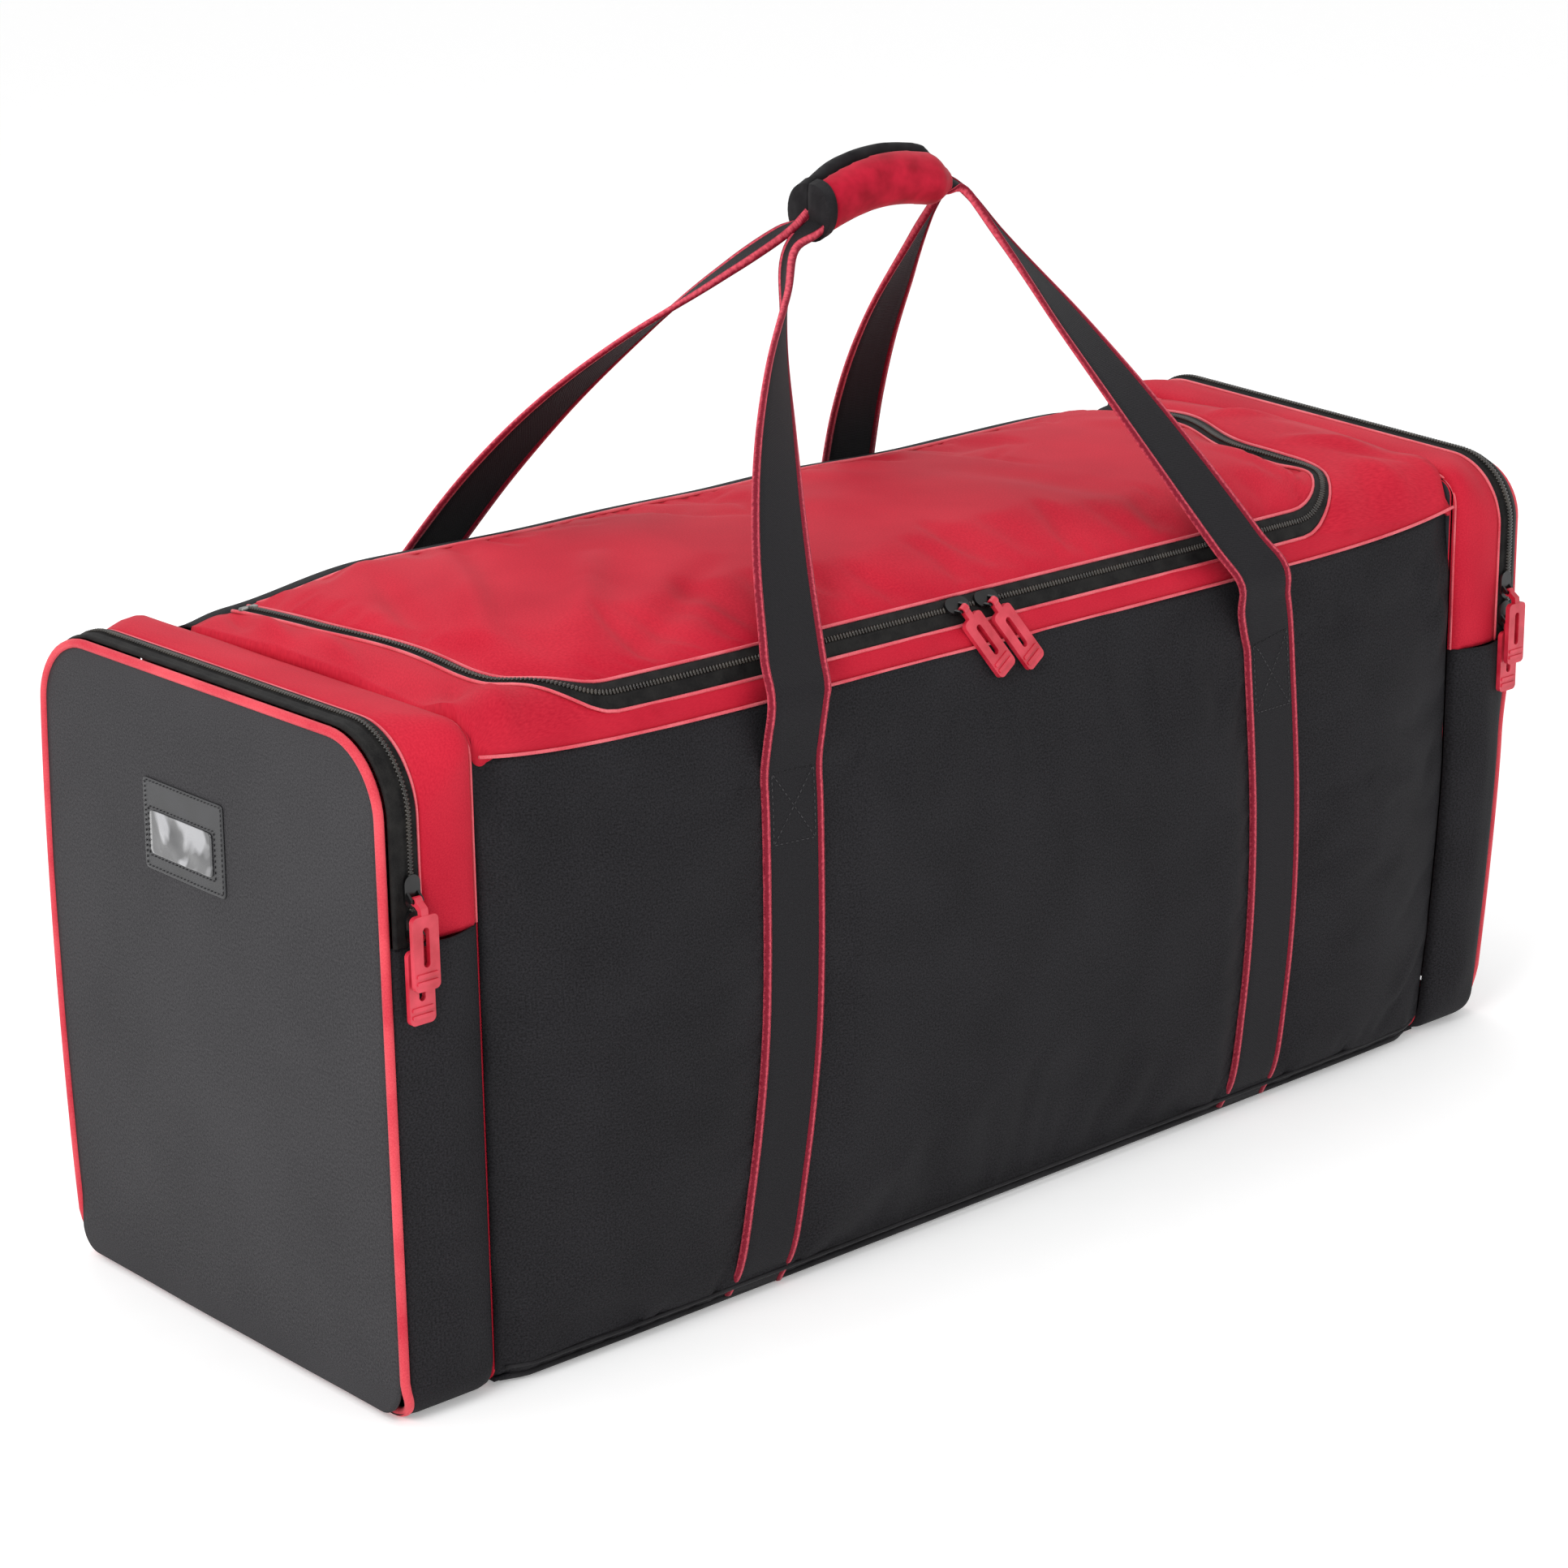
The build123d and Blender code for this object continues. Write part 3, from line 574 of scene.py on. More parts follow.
THREAD = 1.25 * MM  # the real cloth has a thread every 0.5 mm; it is drawn coarser so that it shows
MATERIALS = {
    # 600-denier polyester, solution-dyed black: dull, finely speckled
    "black_polyester": woven(
        "black_polyester", "#151416", "#2b2a2d", THREAD, 0.12 * MM, 0.75, 0.0, speck=0.8
    ),
    # the same black cloth on the end panels, with painted light: coloured a lighter grey there for the light
    # that falls on the ends from the left
    "charcoal_polyester": woven(
        "charcoal_polyester", "#302f31", "#444345", THREAD, 0.12 * MM, 0.72, 0.0, 90.0, 0.8
    ),
    # bright red polyester with a soft sheen on the folds
    "red_polyester": woven("red_polyester", "#b0102a", "#ca2539", THREAD, 0.1 * MM, 0.62, 0.02, 90.0, 0.5),
    # brushed cloth over the grip's foam
    "red_grip_cloth": woven("red_grip_cloth", "#90061f", "#c01834", 0.9 * MM, 0.18 * MM, 0.8, 0.12, 14.0),
    "black_grip_cloth": woven(
        "black_grip_cloth", "#121113", "#29282a", 0.9 * MM, 0.18 * MM, 0.75, 0.03, 14.0
    ),
    # knitted zip tape
    "zip_tape": woven("zip_tape", "#0f0e0f", "#242322", 1.0 * MM, 0.15 * MM, 0.6, 0.02, 10.0),
    # grey coating on the inside of the cloth
    "coated_lining": woven("coated_lining", "#26262a", "#333338", 2.0 * MM, 0.05 * MM, 0.55, 0.0),
    # folded fabric edge, partly real and partly painted highlight: a lighter, pinker red than the cloth for
    # the light along the fold
    "red_fold_painted_highlight": woven("red_fold_painted_highlight", "#cf3547", "#e9737c", 1.0 * MM, 0.1 * MM, 0.5, 0.1, 30.0, shine=0.3),
    # the same red cloth wrapped round a cord, with painted highlight: coloured lighter than the flat red
    # cloth for the light on the round cord
    "piping_cloth_painted_highlight": woven(
        "piping_cloth_painted_highlight", "#c52a3c", "#e4525c", 1.1 * MM, 0.15 * MM, 0.55, 0.05, 40.0, shine=0.2
    ),
    # black cloth folded over the lower seams
    "black_fold": woven("black_fold", "#161517", "#2c2b2d", 1.0 * MM, 0.1 * MM, 0.55, 0.02, 30.0),
    # bonded nylon sewing thread
    "black_thread": woven("black_thread", "#2e2d2f", "#4a494b", 0.8 * MM, 0.1 * MM, 0.5, 0.02, 10.0),
    # 40 mm webbing and the grosgrain folded over its edges
    "black_webbing": webbing_ribs(),
    "red_edging": strap_edging(),
    # soft PVC zip pulls: saturated, slightly glossy
    "pull_rubber": moulded("pull_rubber", "#b8142c", "#dd3c50", 0.4, 0.25, 0.6 * MM),
    # black enamelled zinc
    "slider_metal": moulded("slider_metal", "#0b0b0c", "#232324", 0.32, 0.5, 0.8 * MM, 0.6),
    # nylon coil, glossy; painted highlight: its colour has a warm brown tint for the warm highlight along it
    "zip_coil": moulded("zip_coil", "#1c1916", "#3b352d", 0.3, 0.3, 0.5 * MM),
    # pressed aluminium clamp
    "zip_stop_metal": moulded("zip_stop_metal", "#7c7c7a", "#b4b3ae", 0.35, 0.0, 0.6 * MM, 0.9),
    # embossed black PVC card pocket, with a clear film over the card
    "black_vinyl": moulded("black_vinyl", "#1b1b1d", "#2d2d30", 0.45, 0.2, 0.7 * MM),
    "clear_vinyl": clear_vinyl(),
}


# ---- main compartment ---------------------------------------------------------------------------
STRAP_FEET = {  # x of each strap at the floor and at the shoulder, in millimetres
    "front": {"left": (-235, -206), "right": (224, 229)},
    "back": {"left": (-237, -220), "right": (213, 192)},
}
TURNS = {"front": -1, "back": 1}
SIDES = {"left": -1, "right": 1}
SEWN_TOP = 352 * MM  # the straps leave the face here

FRONT_FOLDS = (  # start, end (x and z), width and height of each soft fold, in millimetres
    ((-439, 396), (-396, 342), 8, -5.0), ((-430, 385), (-340, 362), 12, 3.0),
    ((-438, 340), (-402, 300), 7, 2.6), ((-439, 215), (-372, 232), 6, 3.4),
    ((-439, 186), (-360, 172), 7, -3.0), ((-439, 150), (-380, 122), 6, 3.2),
    ((-439, 92), (-350, 100), 9, -2.6), ((-436, 60), (-396, 26), 8, 3.4),
    ((-150, 386), (-130, 330), 14, 2.0), ((50, 384), (10, 340), 16, 1.8),
    ((436, 330), (402, 290), 9, 2.6), ((436, 378), (380, 352), 8, -2.4),
    ((438, 240), (394, 195), 8, -2.6), ((430, 90), (370, 40), 10, 3.4),
    ((160, 384), (120, 350), 10, -1.6),
)
LID_FOLDS = (  # the same, in x and y
    ((-385, -120), (-270, 72), 12, 9.0), ((-392, -80), (-330, 80), 10, -6.0),
    ((-345, -150), (-210, 0), 12, 8.0), ((-300, -152), (-150, -50), 10, -6.0),
    ((-250, -60), (-120, 60), 24, 3.2), ((-370, 20), (-310, 116), 12, 3.6),
    ((-330, -20), (-230, 100), 10, -2.6), ((30, -152), (140, -30), 22, 2.8),
    ((190, -150), (110, 30), 18, -2.4), ((-90, 100), (20, -40), 24, 2.2),
    ((290, -150), (342, -10), 15, 3.4), ((374, -60), (290, 60), 14, 3.2),
    ((10, 118), (60, 20), 16, 2.4),
)
YOKE_FOLDS = (
    ((-439, -70), (-404, 40), 6, 4.0), ((-437, 10), (-404, 100), 7, 6.0),
    ((-432, 60), (-410, 118), 5, -4.0), ((-416, -172), (-390, -120), 8, 4.6),
    ((-438, -150), (-402, -110), 6, -4.0), ((-310, -173), (-290, -150), 10, 2.0),
    ((-70, -173), (-100, -156), 9, 1.6), ((140, -173), (160, -155), 9, 1.6),
    ((320, -172), (345, -142), 7, 3.0), ((355, -172), (372, -130), 7, -3.0),
    ((430, -120), (365, -60), 9, 4.6), ((434, -30), (384, 40), 8, 4.0),
    ((398, -172), (380, -120), 8, 3.6), ((430, -160), (380, -90), 7, -3.0),
)


def folded(x, y, folds):
    """Height of all the folds of a panel at one point of it."""
    return sum(ridge(x, y, *fold) for fold in folds)


def strap_x(face, place, z):
    """Centre line of a sewn strap at a height."""
    foot, top = STRAP_FEET[face][place]
    share = z / SEWN_TOP
    return mix(foot, top, share) * MM + 3 * MM * sin(pi * clamp(share))


def under_strap(face, point):
    """1 under a strap, where the panel is sewn down, fading to 0 beside it."""
    gaps = [abs(point.x - strap_x(face, place, point.z)) for place in SIDES]
    return 1 - ease((min(gaps) - 20 * MM) / (12 * MM))


def make_front():
    def place(u, v):
        x = mix(-BODY_X, BODY_X, u)
        z = mix(4 * MM, seam_z(x), v)
        return Vector((x, face_y(x, z, -1), z))

    def sewn(point):
        edge = min(from_end(point), point.z - 4 * MM)
        below_seam = seam_z(point.x) - point.z  # flat here, so that the pulls slide over it
        return max(1 - ease(edge / (5 * MM)), 1 - ease(below_seam / (70 * MM)), under_strap("front", point))

    size = (2 * BODY_X, SEAM_Z + 8 * MM)
    piece = publish(cloth_grid((152, 68), place, size), "front_cloth", [MATERIALS["black_polyester"]])
    billow(piece, sewn, 2.2, 0.012, 8 * MM)
    for vert in piece.data.vertices:
        free = 1 - under_strap("front", vert.co)
        vert.co.y -= folded(vert.co.x, vert.co.z, FRONT_FOLDS) * free
    lined(piece)
    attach(piece, "bag_body")
    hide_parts("front_panel")


def make_back():
    rise = 350 * MM  # the face is upright to here, then the panel rolls over to the lid

    def place(u, v):
        x = mix(-BODY_X, BODY_X, u)
        if v < 0.8:
            z = mix(4 * MM, rise, v / 0.8)
            return Vector((x, face_y(x, z, 1), z))
        angle = pi / 2 * (v - 0.8) / 0.2
        y = mix(LID_REAR + 0.6 * MM, face_y(x, rise, 1), cos(angle) ** 0.9)
        return Vector((x, y, mix(rise, top_z(x, LID_REAR), sin(angle) ** 0.95)))

    def sewn(point):
        edge = min(from_end(point), point.z - 4 * MM)
        over = 1 - ease((rise - point.z) / (30 * MM))
        return max(1 - ease(edge / (5 * MM)), under_strap("back", point), over)

    size = (2 * BODY_X, 450 * MM)
    piece = publish(cloth_grid((140, 76), place, size), "back_cloth", [MATERIALS["black_polyester"]])
    billow(piece, sewn, 2.2, 0.012, 8 * MM)
    lined(piece)
    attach(piece, "bag_body")
    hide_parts("back_panel")


def make_bottom():
    def place(u, v):
        x = mix(-BODY_X, BODY_X, u)
        y = mix(-1, 1, v) * (HALF_WIDTH - 9 * MM)
        rim = 1 - ease(min(BODY_X - abs(x), HALF_WIDTH - 9 * MM - abs(y)) / (14 * MM))
        return Vector((x, y, 0.3 * MM + 4 * MM * rim))

    size = (2 * BODY_X, 2 * HALF_WIDTH - 18 * MM)
    piece = publish(cloth_grid((90, 40), place, size), "bottom_cloth", [MATERIALS["black_polyester"]])
    lined(piece, 2 * MM)
    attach(piece, "bag_body")
    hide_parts("bottom_panel")


def zip_route(grow, cells):
    """The main zip seen from above, grown or shrunk, from the left rear round the front."""
    plain = arch(LID_X + grow, LID_REAR, ZIP_Y - grow, LID_CORNER + grow, cells)
    return [(drawn_in(x, y), y) for x, y in plain]


YOKE_CELLS = (40, 12, 120)


def make_yoke():
    outer = arch(BODY_X + 3.5 * MM, LID_REAR, SEAM_Y, 12 * MM, YOKE_CELLS)
    inner = zip_route(LIP, YOKE_CELLS)
    last = len(outer) - 1

    def place(u, v):
        (x0, y0), (x1, y1) = outer[round(u * last)], inner[round(u * last)]
        x, y = mix(x0, x1, v), mix(y0, y1, v)
        swell = 2.5 * MM * sin(pi * v)
        fold = folded(x, y, YOKE_FOLDS) * sin(pi * clamp(v, 0.02, 0.98)) ** 0.5
        steep = ease((-140 * MM - y) / (25 * MM))
        skirt = 9 * MM * ease((abs(x0) - BODY_X + 14 * MM) / (14 * MM)) if v < 0.01 else 0.0
        z = top_z(x, y) + (swell + fold) * (1 - 0.4 * steep) - skirt
        return Vector((x, y - (swell + fold) * 0.8 * steep, z))

    size = (1.36, 30 * MM)
    piece = publish(cloth_grid((last, 14), place, size), "yoke_cloth", [MATERIALS["red_polyester"]])
    lined(piece)
    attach(piece, "bag_body")
    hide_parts("front_yoke_strip", "left_yoke_strip", "right_yoke_strip")


LID_FRONT = ZIP_Y + LIP
LID_RADIUS = LID_CORNER - LIP
LID_EDGE = LID_X - LIP


def lid_half(y):
    """Half the lid's width at a distance along Y."""
    into = clamp(y - LID_FRONT, 0, LID_RADIUS)
    return LID_EDGE - LID_RADIUS + (LID_RADIUS**2 - (LID_RADIUS - into) ** 2) ** 0.5


def make_lid():
    corner = 0.2  # share of the rows that round the two front corners

    def place(u, v):
        if v < corner:
            y = LID_FRONT + LID_RADIUS * (1 - cos(pi / 2 * v / corner))
        else:
            y = mix(LID_FRONT + LID_RADIUS, LID_REAR, (v - corner) / (1 - corner))
        x = mix(-1, 1, u) * lid_half(y)
        return Vector((x, y, top_z(x, y)))

    def sewn(point):
        edge = min(lid_half(point.y) - abs(point.x), point.y - LID_FRONT, LID_REAR - point.y)
        return 1 - ease(edge / (6 * MM))

    size = (2 * LID_EDGE, LID_REAR - LID_FRONT + 12 * MM)
    piece = publish(cloth_grid((150, 56), place, size), "lid_cloth", [MATERIALS["red_polyester"]])
    billow(piece, sewn, 1.6, 0.02, 7 * MM)
    for vert in piece.data.vertices:
        edge = ease(min(lid_half(vert.co.y) - abs(vert.co.x), vert.co.y - LID_FRONT) / (12 * MM))
        x, y = drawn_in(vert.co.x, vert.co.y), vert.co.y
        vert.co.z += folded(x, y, LID_FOLDS) * edge + top_z(x, y) - top_z(vert.co.x, y)
        vert.co.x = x
    lined(piece)
    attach(piece, "lid")
    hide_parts("lid_panel")


# ---- zips ---------------------------------------------------------------------------------------
PITCH = 2.6 * MM


def on_top(points, rise):
    """Points on the bag's top skin, rise above it."""
    return [Vector((x, y, top_z(x, y))) + top_normal(x, y) * rise for x, y in points]


def top_normal(x, y):
    step = 2 * MM
    east = (top_z(x + step, y) - top_z(x - step, y)) / (2 * step)
    north = (top_z(x, y + step) - top_z(x, y - step)) / (2 * step)
    return Vector((-east, -north, 1)).normalized()


def coil_half(bm, route, normals, way, material_index):
    """Half of a zip's coil: rounded loops across the middle of the zip, on one side of it."""
    for i in range(1 if way > 0 else 0, len(route) - 1, 2):
        ahead = (route[i + 1] - route[i]).normalized()
        out = normals[i]
        across = ahead.cross(out) * way
        place = Matrix((across, ahead, out)).transposed().to_4x4()
        place.translation = route[i] + across * 0.9 * MM + out * 0.5 * MM
        loop = bmesh.ops.create_icosphere(
            bm, subdivisions=1, radius=1.0, matrix=place @ Matrix.Diagonal((1.9 * MM, 1.05 * MM, 1.1 * MM, 1))
        )
        for face in {f for vert in loop["verts"] for f in vert.link_faces}:
            face.material_index = material_index


def zip_half(name, rows, normals_of, coil_side, body, node, size):
    """One side of a zip: its knitted tape as rows of points from the coil outwards, and its coil loops."""
    last, lanes = len(rows[0]) - 1, len(rows) - 1
    bm = cloth_grid((last, lanes), lambda u, v: rows[round(v * lanes)][round(u * last)], size)
    tape = bm.faces[:]
    bmesh.ops.solidify(bm, geom=tape, thickness=0.9 * MM)
    line = even_steps(rows[0], PITCH / 2)
    coil_half(bm, line, [normals_of(point) for point in line], coil_side, 1)
    piece = publish(bm, name, [MATERIALS["zip_tape"], MATERIALS["zip_coil"]], body)
    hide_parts(node)
    return piece


TAPE_ROWS = ((0.4, 1.7), (1.6, 1.9), (2.4, 0.9), (4.4, 1.2), (6.2, -1.2), (7.4, -2.2))  # across, rise, mm


def make_main_zip():
    rear_cut = LID_REAR - 14 * MM
    for name, way, body in (("main_zip_frame_tape", 1, "bag_body"), ("main_zip_lid_tape", -1, "lid")):
        rows = []
        for across, rise in TAPE_ROWS:
            row = [p for p in zip_route(way * across * MM, YOKE_CELLS) if p[1] <= rear_cut + 6 * MM]
            rows.append(on_top(row, rise * MM))
        half = name.replace("tape", "half")
        size = (1.3, 8 * MM)
        zip_half(half, rows, lambda p: top_normal(p.x, p.y), -way, body, name, size)
    hem_gap = LIP + 0.3 * MM
    # the zip hems, the rear hem and the front seam bead are real folded edges, coloured in the
    # painted-highlight red
    for name, grow, body in (("yoke_zip_hem", hem_gap, "bag_body"), ("lid_zip_hem", -hem_gap, "lid")):
        route = on_top(zip_route(grow, YOKE_CELLS), 0.8 * MM)
        hem = bead(name, even_steps(route, 4 * MM), MATERIALS["red_fold_painted_highlight"], body, 1.2 * MM)
    rear = []
    for x in range(-392, 393, 8):
        rear.append(Vector((x * MM, LID_REAR - 2 * MM, top_z(x * MM, LID_REAR) + 1.2 * MM)))
    bead("lid_rear_hem", rear, MATERIALS["red_fold_painted_highlight"], "lid", 1.4 * MM)
    bm = bmesh.new()
    stop_size = Matrix.Diagonal((13 * MM, 5 * MM, 4 * MM, 1))
    for x, y in (zip_route(0, YOKE_CELLS)[0], zip_route(0, YOKE_CELLS)[-1]):
        stop_place = Matrix.Translation((x, y - 10 * MM, top_z(x, y) + 2 * MM))
        bmesh.ops.create_cube(bm, size=1.0, matrix=stop_place @ stop_size)
    bmesh.ops.bevel(bm, geom=bm.edges[:], offset=1.2 * MM, segments=3, profile=0.5, affect="EDGES")
    stops = publish(bm, "zip_end_clamps", [MATERIALS["zip_stop_metal"]], "bag_body")
    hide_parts("main_zip_end_stops")
    # a raised seam along the front, in the painted-highlight red
    seam = []
    for x in range(-436, 437, 4):
        seam.append(Vector((x * MM, SEAM_Y - 1.2 * MM, seam_z(x * MM) + 0.4 * MM)))
    bead("front_seam_fold", seam, MATERIALS["red_fold_painted_highlight"], "bag_body", 1.1 * MM)


# ---- end pockets --------------------------------------------------------------------------------
def arc_rows(inset, start, stop, radii, cells):
    """Rows of (y, z) points round a pocket, one for each corner radius."""
    way = 1 if stop > start else -1
    return [arch(HALF_WIDTH - inset, start, stop - way * inset, radius - inset, cells) for radius in radii]


def pocket_cloth(name, side, x_span, insets, start, stop, corners, cells, material):
    """A stretch of gusset with its own bulge across, from insets spaced evenly over x_span."""
    radii = [mix(corners[0], corners[1], ease(j / (len(insets) - 1))) for j in range(len(insets))]
    rows = arc_rows(0.0, start, stop, radii, cells)
    inner = arc_rows(12 * MM, start, stop, radii, cells)
    last, lanes = len(rows[0]) - 1, len(insets) - 1

    def place(u, v):
        i, j = round(u * last), round(v * lanes)
        (y0, z0), (y1, z1) = rows[j][i], inner[j][i]
        floor_free = ease(z0 / (50 * MM))
        inset = insets[j] * MM
        if inset < 0:
            inset *= floor_free
        inset += 0.9 * MM * wander(y0 + 3 * v, z0, 60 * MM, side + 8.0) * sin(pi * v) * floor_free
        share = inset / (12 * MM)
        x = side * mix(x_span[0], x_span[1], v)
        return Vector((x, mix(y0, y1, share), mix(z0, z1, share)))

    size = (2 * abs(stop - start) + 2 * HALF_WIDTH - 0.86 * corners[1], abs(x_span[1] - x_span[0]))
    piece = publish(cloth_grid((last, lanes), place, size), name, [material])
    lined(piece)
    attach(piece, "bag_body")
    return piece


def end_x(y, z):
    """Distance of an end panel's outer face from the middle of the bag."""
    over = sin(pi * clamp((y + HALF_WIDTH) / (2 * HALF_WIDTH))) * sin(pi * clamp(z / POCKET_TOP))
    sag = 4 * MM * (1 - ease(z / (45 * MM)))
    return HALF_LENGTH - 2.5 * MM + sag + 5 * MM * clamp(over) ** 0.8 + 0.8 * MM * wander(y, z, 90 * MM, 3.0)


def make_end_panel(name, side):
    inset = 5.5 * MM + ROLL[name]
    size = (2 * (HALF_WIDTH - inset), POCKET_TOP - 2 * inset)
    place = pocket_disc(inset, TOP_CORNER, lambda y, z: side * end_x(y, z))
    # painted light: the end panels wear the lighter grey copy of the black cloth
    piece = publish(cloth_grid((60, 76), place, size), f"{name}_end_cloth", [MATERIALS["charcoal_polyester"]])
    lined(piece)
    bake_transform(piece)
    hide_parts(f"{name}_end_panel", f"{name}_pocket_door_panel")


def pocket_loop(inset, side):
    """A closed line for the piping round an end panel; it tucks under along the floor."""
    middle = 200 * MM
    cells = (26, 12, 40)
    over = arch(HALF_WIDTH - inset, middle, POCKET_TOP - inset, TOP_CORNER - inset, cells)
    under = arch(HALF_WIDTH - inset, middle, inset, BOTTOM_CORNER - inset, cells)
    line = []
    for y, z in over + under[::-1][1:]:
        tuck = 6 * MM * (1 - ease((z - inset) / (26 * MM)))
        line.append(Vector((side * (HALF_LENGTH - PIPING - tuck), y, z)))
    return line


POCKET_TAPE_ROWS = (  # across, rise and how much lower the side under the red cloth lies, mm
    (0.4, 1.9, 0.0), (1.6, 2.1, 0.0), (2.6, 0.9, 0.0), (5.2, 2.0, 0.0), (7.6, 0.7, 2.0), (10.6, 1.8, 4.0),
    (13.2, 0.2, 3.0),
)
ROLL = {"left": 0.0, "right": 8 * MM}  # how far each end panel's rim has rolled in


def make_pocket(name, side):
    roll = ROLL[name]
    start = RED_START - roll  # the right pocket's red cloth comes a little lower
    swell = (7.0, 1.5, 0.0, -1.0, -1.5, -1.8, -1.6, -1.0, 0.0)
    red = pocket_cloth(
        f"{name}_red_gusset_cloth", side, (POCKET_X - 1 * MM, BAND_IN + POCKET_LIP), swell, start, POCKET_TOP,
        (INNER_CORNER, TOP_CORNER),
        (34, 14, 60), MATERIALS["red_polyester"],
    )
    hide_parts(f"{name}_pocket_red_gusset")
    swell = [7.0, 1.0, -2.0, -4.0, -5.5, -6.5, -6.5, -5.5, -4.0, -2.5, -1.0, 0.5, 1.5]
    for j, share in ((-3, 0.2), (-2, 0.5), (-1, 0.9)):  # the rim rolls in with the end panel
        swell[j] += roll / MM * share
    black = pocket_cloth(
        f"{name}_black_gusset_cloth", side, (POCKET_X - 1 * MM, BAND_OUT), swell, start, 0.0,
        (BOTTOM_CORNER, BOTTOM_CORNER),
        (60, 12, 50), MATERIALS["black_polyester"],
    )
    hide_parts(f"{name}_pocket_black_gusset")
    make_end_panel(name, side)
    loop = pocket_loop(PIPING + roll, side)
    stations = frames(loop, Vector((1, 0, 0)))
    cord = carried(stations, round_section(PIPING, 12), closed=True)
    # painted highlight: the piping is drawn in a lighter copy of the red cloth
    piping = publish(cord, f"{name}_piping", [MATERIALS["piping_cloth_painted_highlight"]])
    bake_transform(piping)
    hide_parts(f"{name}_end_piping", f"{name}_pocket_door_piping")

    cells = (34, 14, 60)
    for half, way, body in (("gusset", -1, "bag_body"), ("door", 1, f"{name}_pocket_door")):
        rows = []
        for across, rise, hidden in POCKET_TAPE_ROWS:
            rise -= hidden if way < 0 else roll / MM * (across / 13.2) ** 2
            up = rise * MM
            outline = arch(HALF_WIDTH + up, start, POCKET_TOP + up, TOP_CORNER + up, cells)
            x = side * (COIL_X + way * across * MM)
            rows.append([Vector((x, y, z)) for y, z in outline])
        middle = Vector((0, 0, POCKET_TOP - TOP_CORNER - 40 * MM))

        def outward(point):
            y = point.y - clamp(point.y, TOP_CORNER - HALF_WIDTH, HALF_WIDTH - TOP_CORNER)
            z = max(point.z - (POCKET_TOP - TOP_CORNER), 0.0)
            return Vector((0, y, z)).normalized() if y or z else (point - middle).normalized()

        zip_half(
            f"{name}_pocket_zip_{half}_half", rows, outward, -way * side, body,
            f"{name}_pocket_zip_{half}_tape", (0.6, 13 * MM),
        )
    # the gusset hems are folded edges, drawn in the painted-highlight red
    hems = (("inner", POCKET_X, 5.4, INNER_CORNER), ("outer", BAND_IN + POCKET_LIP, -0.4, TOP_CORNER))
    for place, x, inset, corner in hems:
        outline = arch(HALF_WIDTH - inset * MM, start, POCKET_TOP - inset * MM, corner, cells)
        route = even_steps([Vector((side * x, y, z)) for y, z in outline], 4 * MM)
        hem = bead(f"{name}_gusset_{place}_hem", route, MATERIALS["red_fold_painted_highlight"], "bag_body", 1.1 * MM)
    place = pocket_disc(8 * MM, INNER_CORNER, lambda y, z: side * (BODY_X + 1 * MM), 2 * MM)
    size = (2 * HALF_WIDTH - 16 * MM, POCKET_TOP - 16 * MM)
    wall = publish(cloth_grid((30, 44), place, size), f"{name}_divider_cloth", [MATERIALS["red_polyester"]])
    lined(wall)
    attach(wall, "bag_body")
    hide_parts(f"{name}_divider")


def pocket_disc(inset, corner, x_of, floor=None):
    """Points over a pocket's whole outline, with rounded corners; x_of(y, z) is where each one stands."""
    low, high, half = floor or inset, POCKET_TOP - inset, HALF_WIDTH - inset
    foot, crown = BOTTOM_CORNER - inset, corner - inset
    share = 0.15  # share of the rows that round the corners, at each end

    def place(u, v):
        if v < share:
            angle = pi / 2 * v / share
            z, narrow = low + foot * (1 - cos(angle)), foot * (1 - sin(angle))
        elif v > 1 - share:
            angle = pi / 2 * (1 - v) / share
            z, narrow = high - crown * (1 - cos(angle)), crown * (1 - sin(angle))
        else:
            z, narrow = mix(low + foot, high - crown, (v - share) / (1 - 2 * share)), 0.0
        y = mix(-1, 1, u) * (half - narrow)
        return Vector((x_of(y, z), y, z))

    return place


# ---- straps and grip ----------------------------------------------------------------------------
# where each leg ends beside the grip, and how far its slack middle sags away from a straight line, in mm
LEG_ENDS = {
    ("front", "left"): ((-46, -9, 622), (-20, -2, 0)),
    ("front", "right"): ((108, -9, 646), (-3, -5, 0)),
    ("back", "left"): ((-36, 9, 632), (-20, 3, 10)),
    ("back", "right"): ((106, 9, 646), (-8, 5, 0)),
}


def leg_route(face, place):
    """A strap from the floor up the face, out over the shoulder and up to the inside of the grip."""
    turn = TURNS[face]
    points = []
    for z in (4, 30, 80, 130, 180, 230, 280, 320, 345):
        x = strap_x(face, place, z * MM)
        points.append(Vector((x, face_y(x, z * MM, turn) + turn * 1.4 * MM, z * MM)))
    top = STRAP_FEET[face][place][1] * MM
    end, slack = (Vector(value) * MM for value in LEG_ENDS[face, place])
    lean_in = 0.13 if place == "right" else 0.0
    points.append(Vector((mix(top, end.x, lean_in / 2), turn * 187 * MM, 368 * MM)))
    points.append(Vector((mix(top, end.x, lean_in), turn * HANDLE_Y, HANDLE_FOLD)))
    fold = points[-1]
    bow = slack + Vector((0, turn * 5 * MM, 0))
    for share in (0.1, 0.3, 0.5, 0.7, 0.88):
        points.append(fold.lerp(end, share) + bow * sin(pi * share))
    points.append(end)
    inside = 30 * MM if place == "left" else -26 * MM
    points.append(Vector((end.x + inside, turn * 7 * MM, mix(end.z, grip_line(end.x + inside), 0.75))))
    return smooth_route(points, 5 * MM)


# where each leg starts turning, as a share of its length, and by how many degrees it has turned at its end
TWISTS = {
    ("front", "left"): (0.47, 105),
    ("front", "right"): (0.50, 50),
    ("back", "left"): (0.55, 60),
    ("back", "right"): (0.50, 40),
}


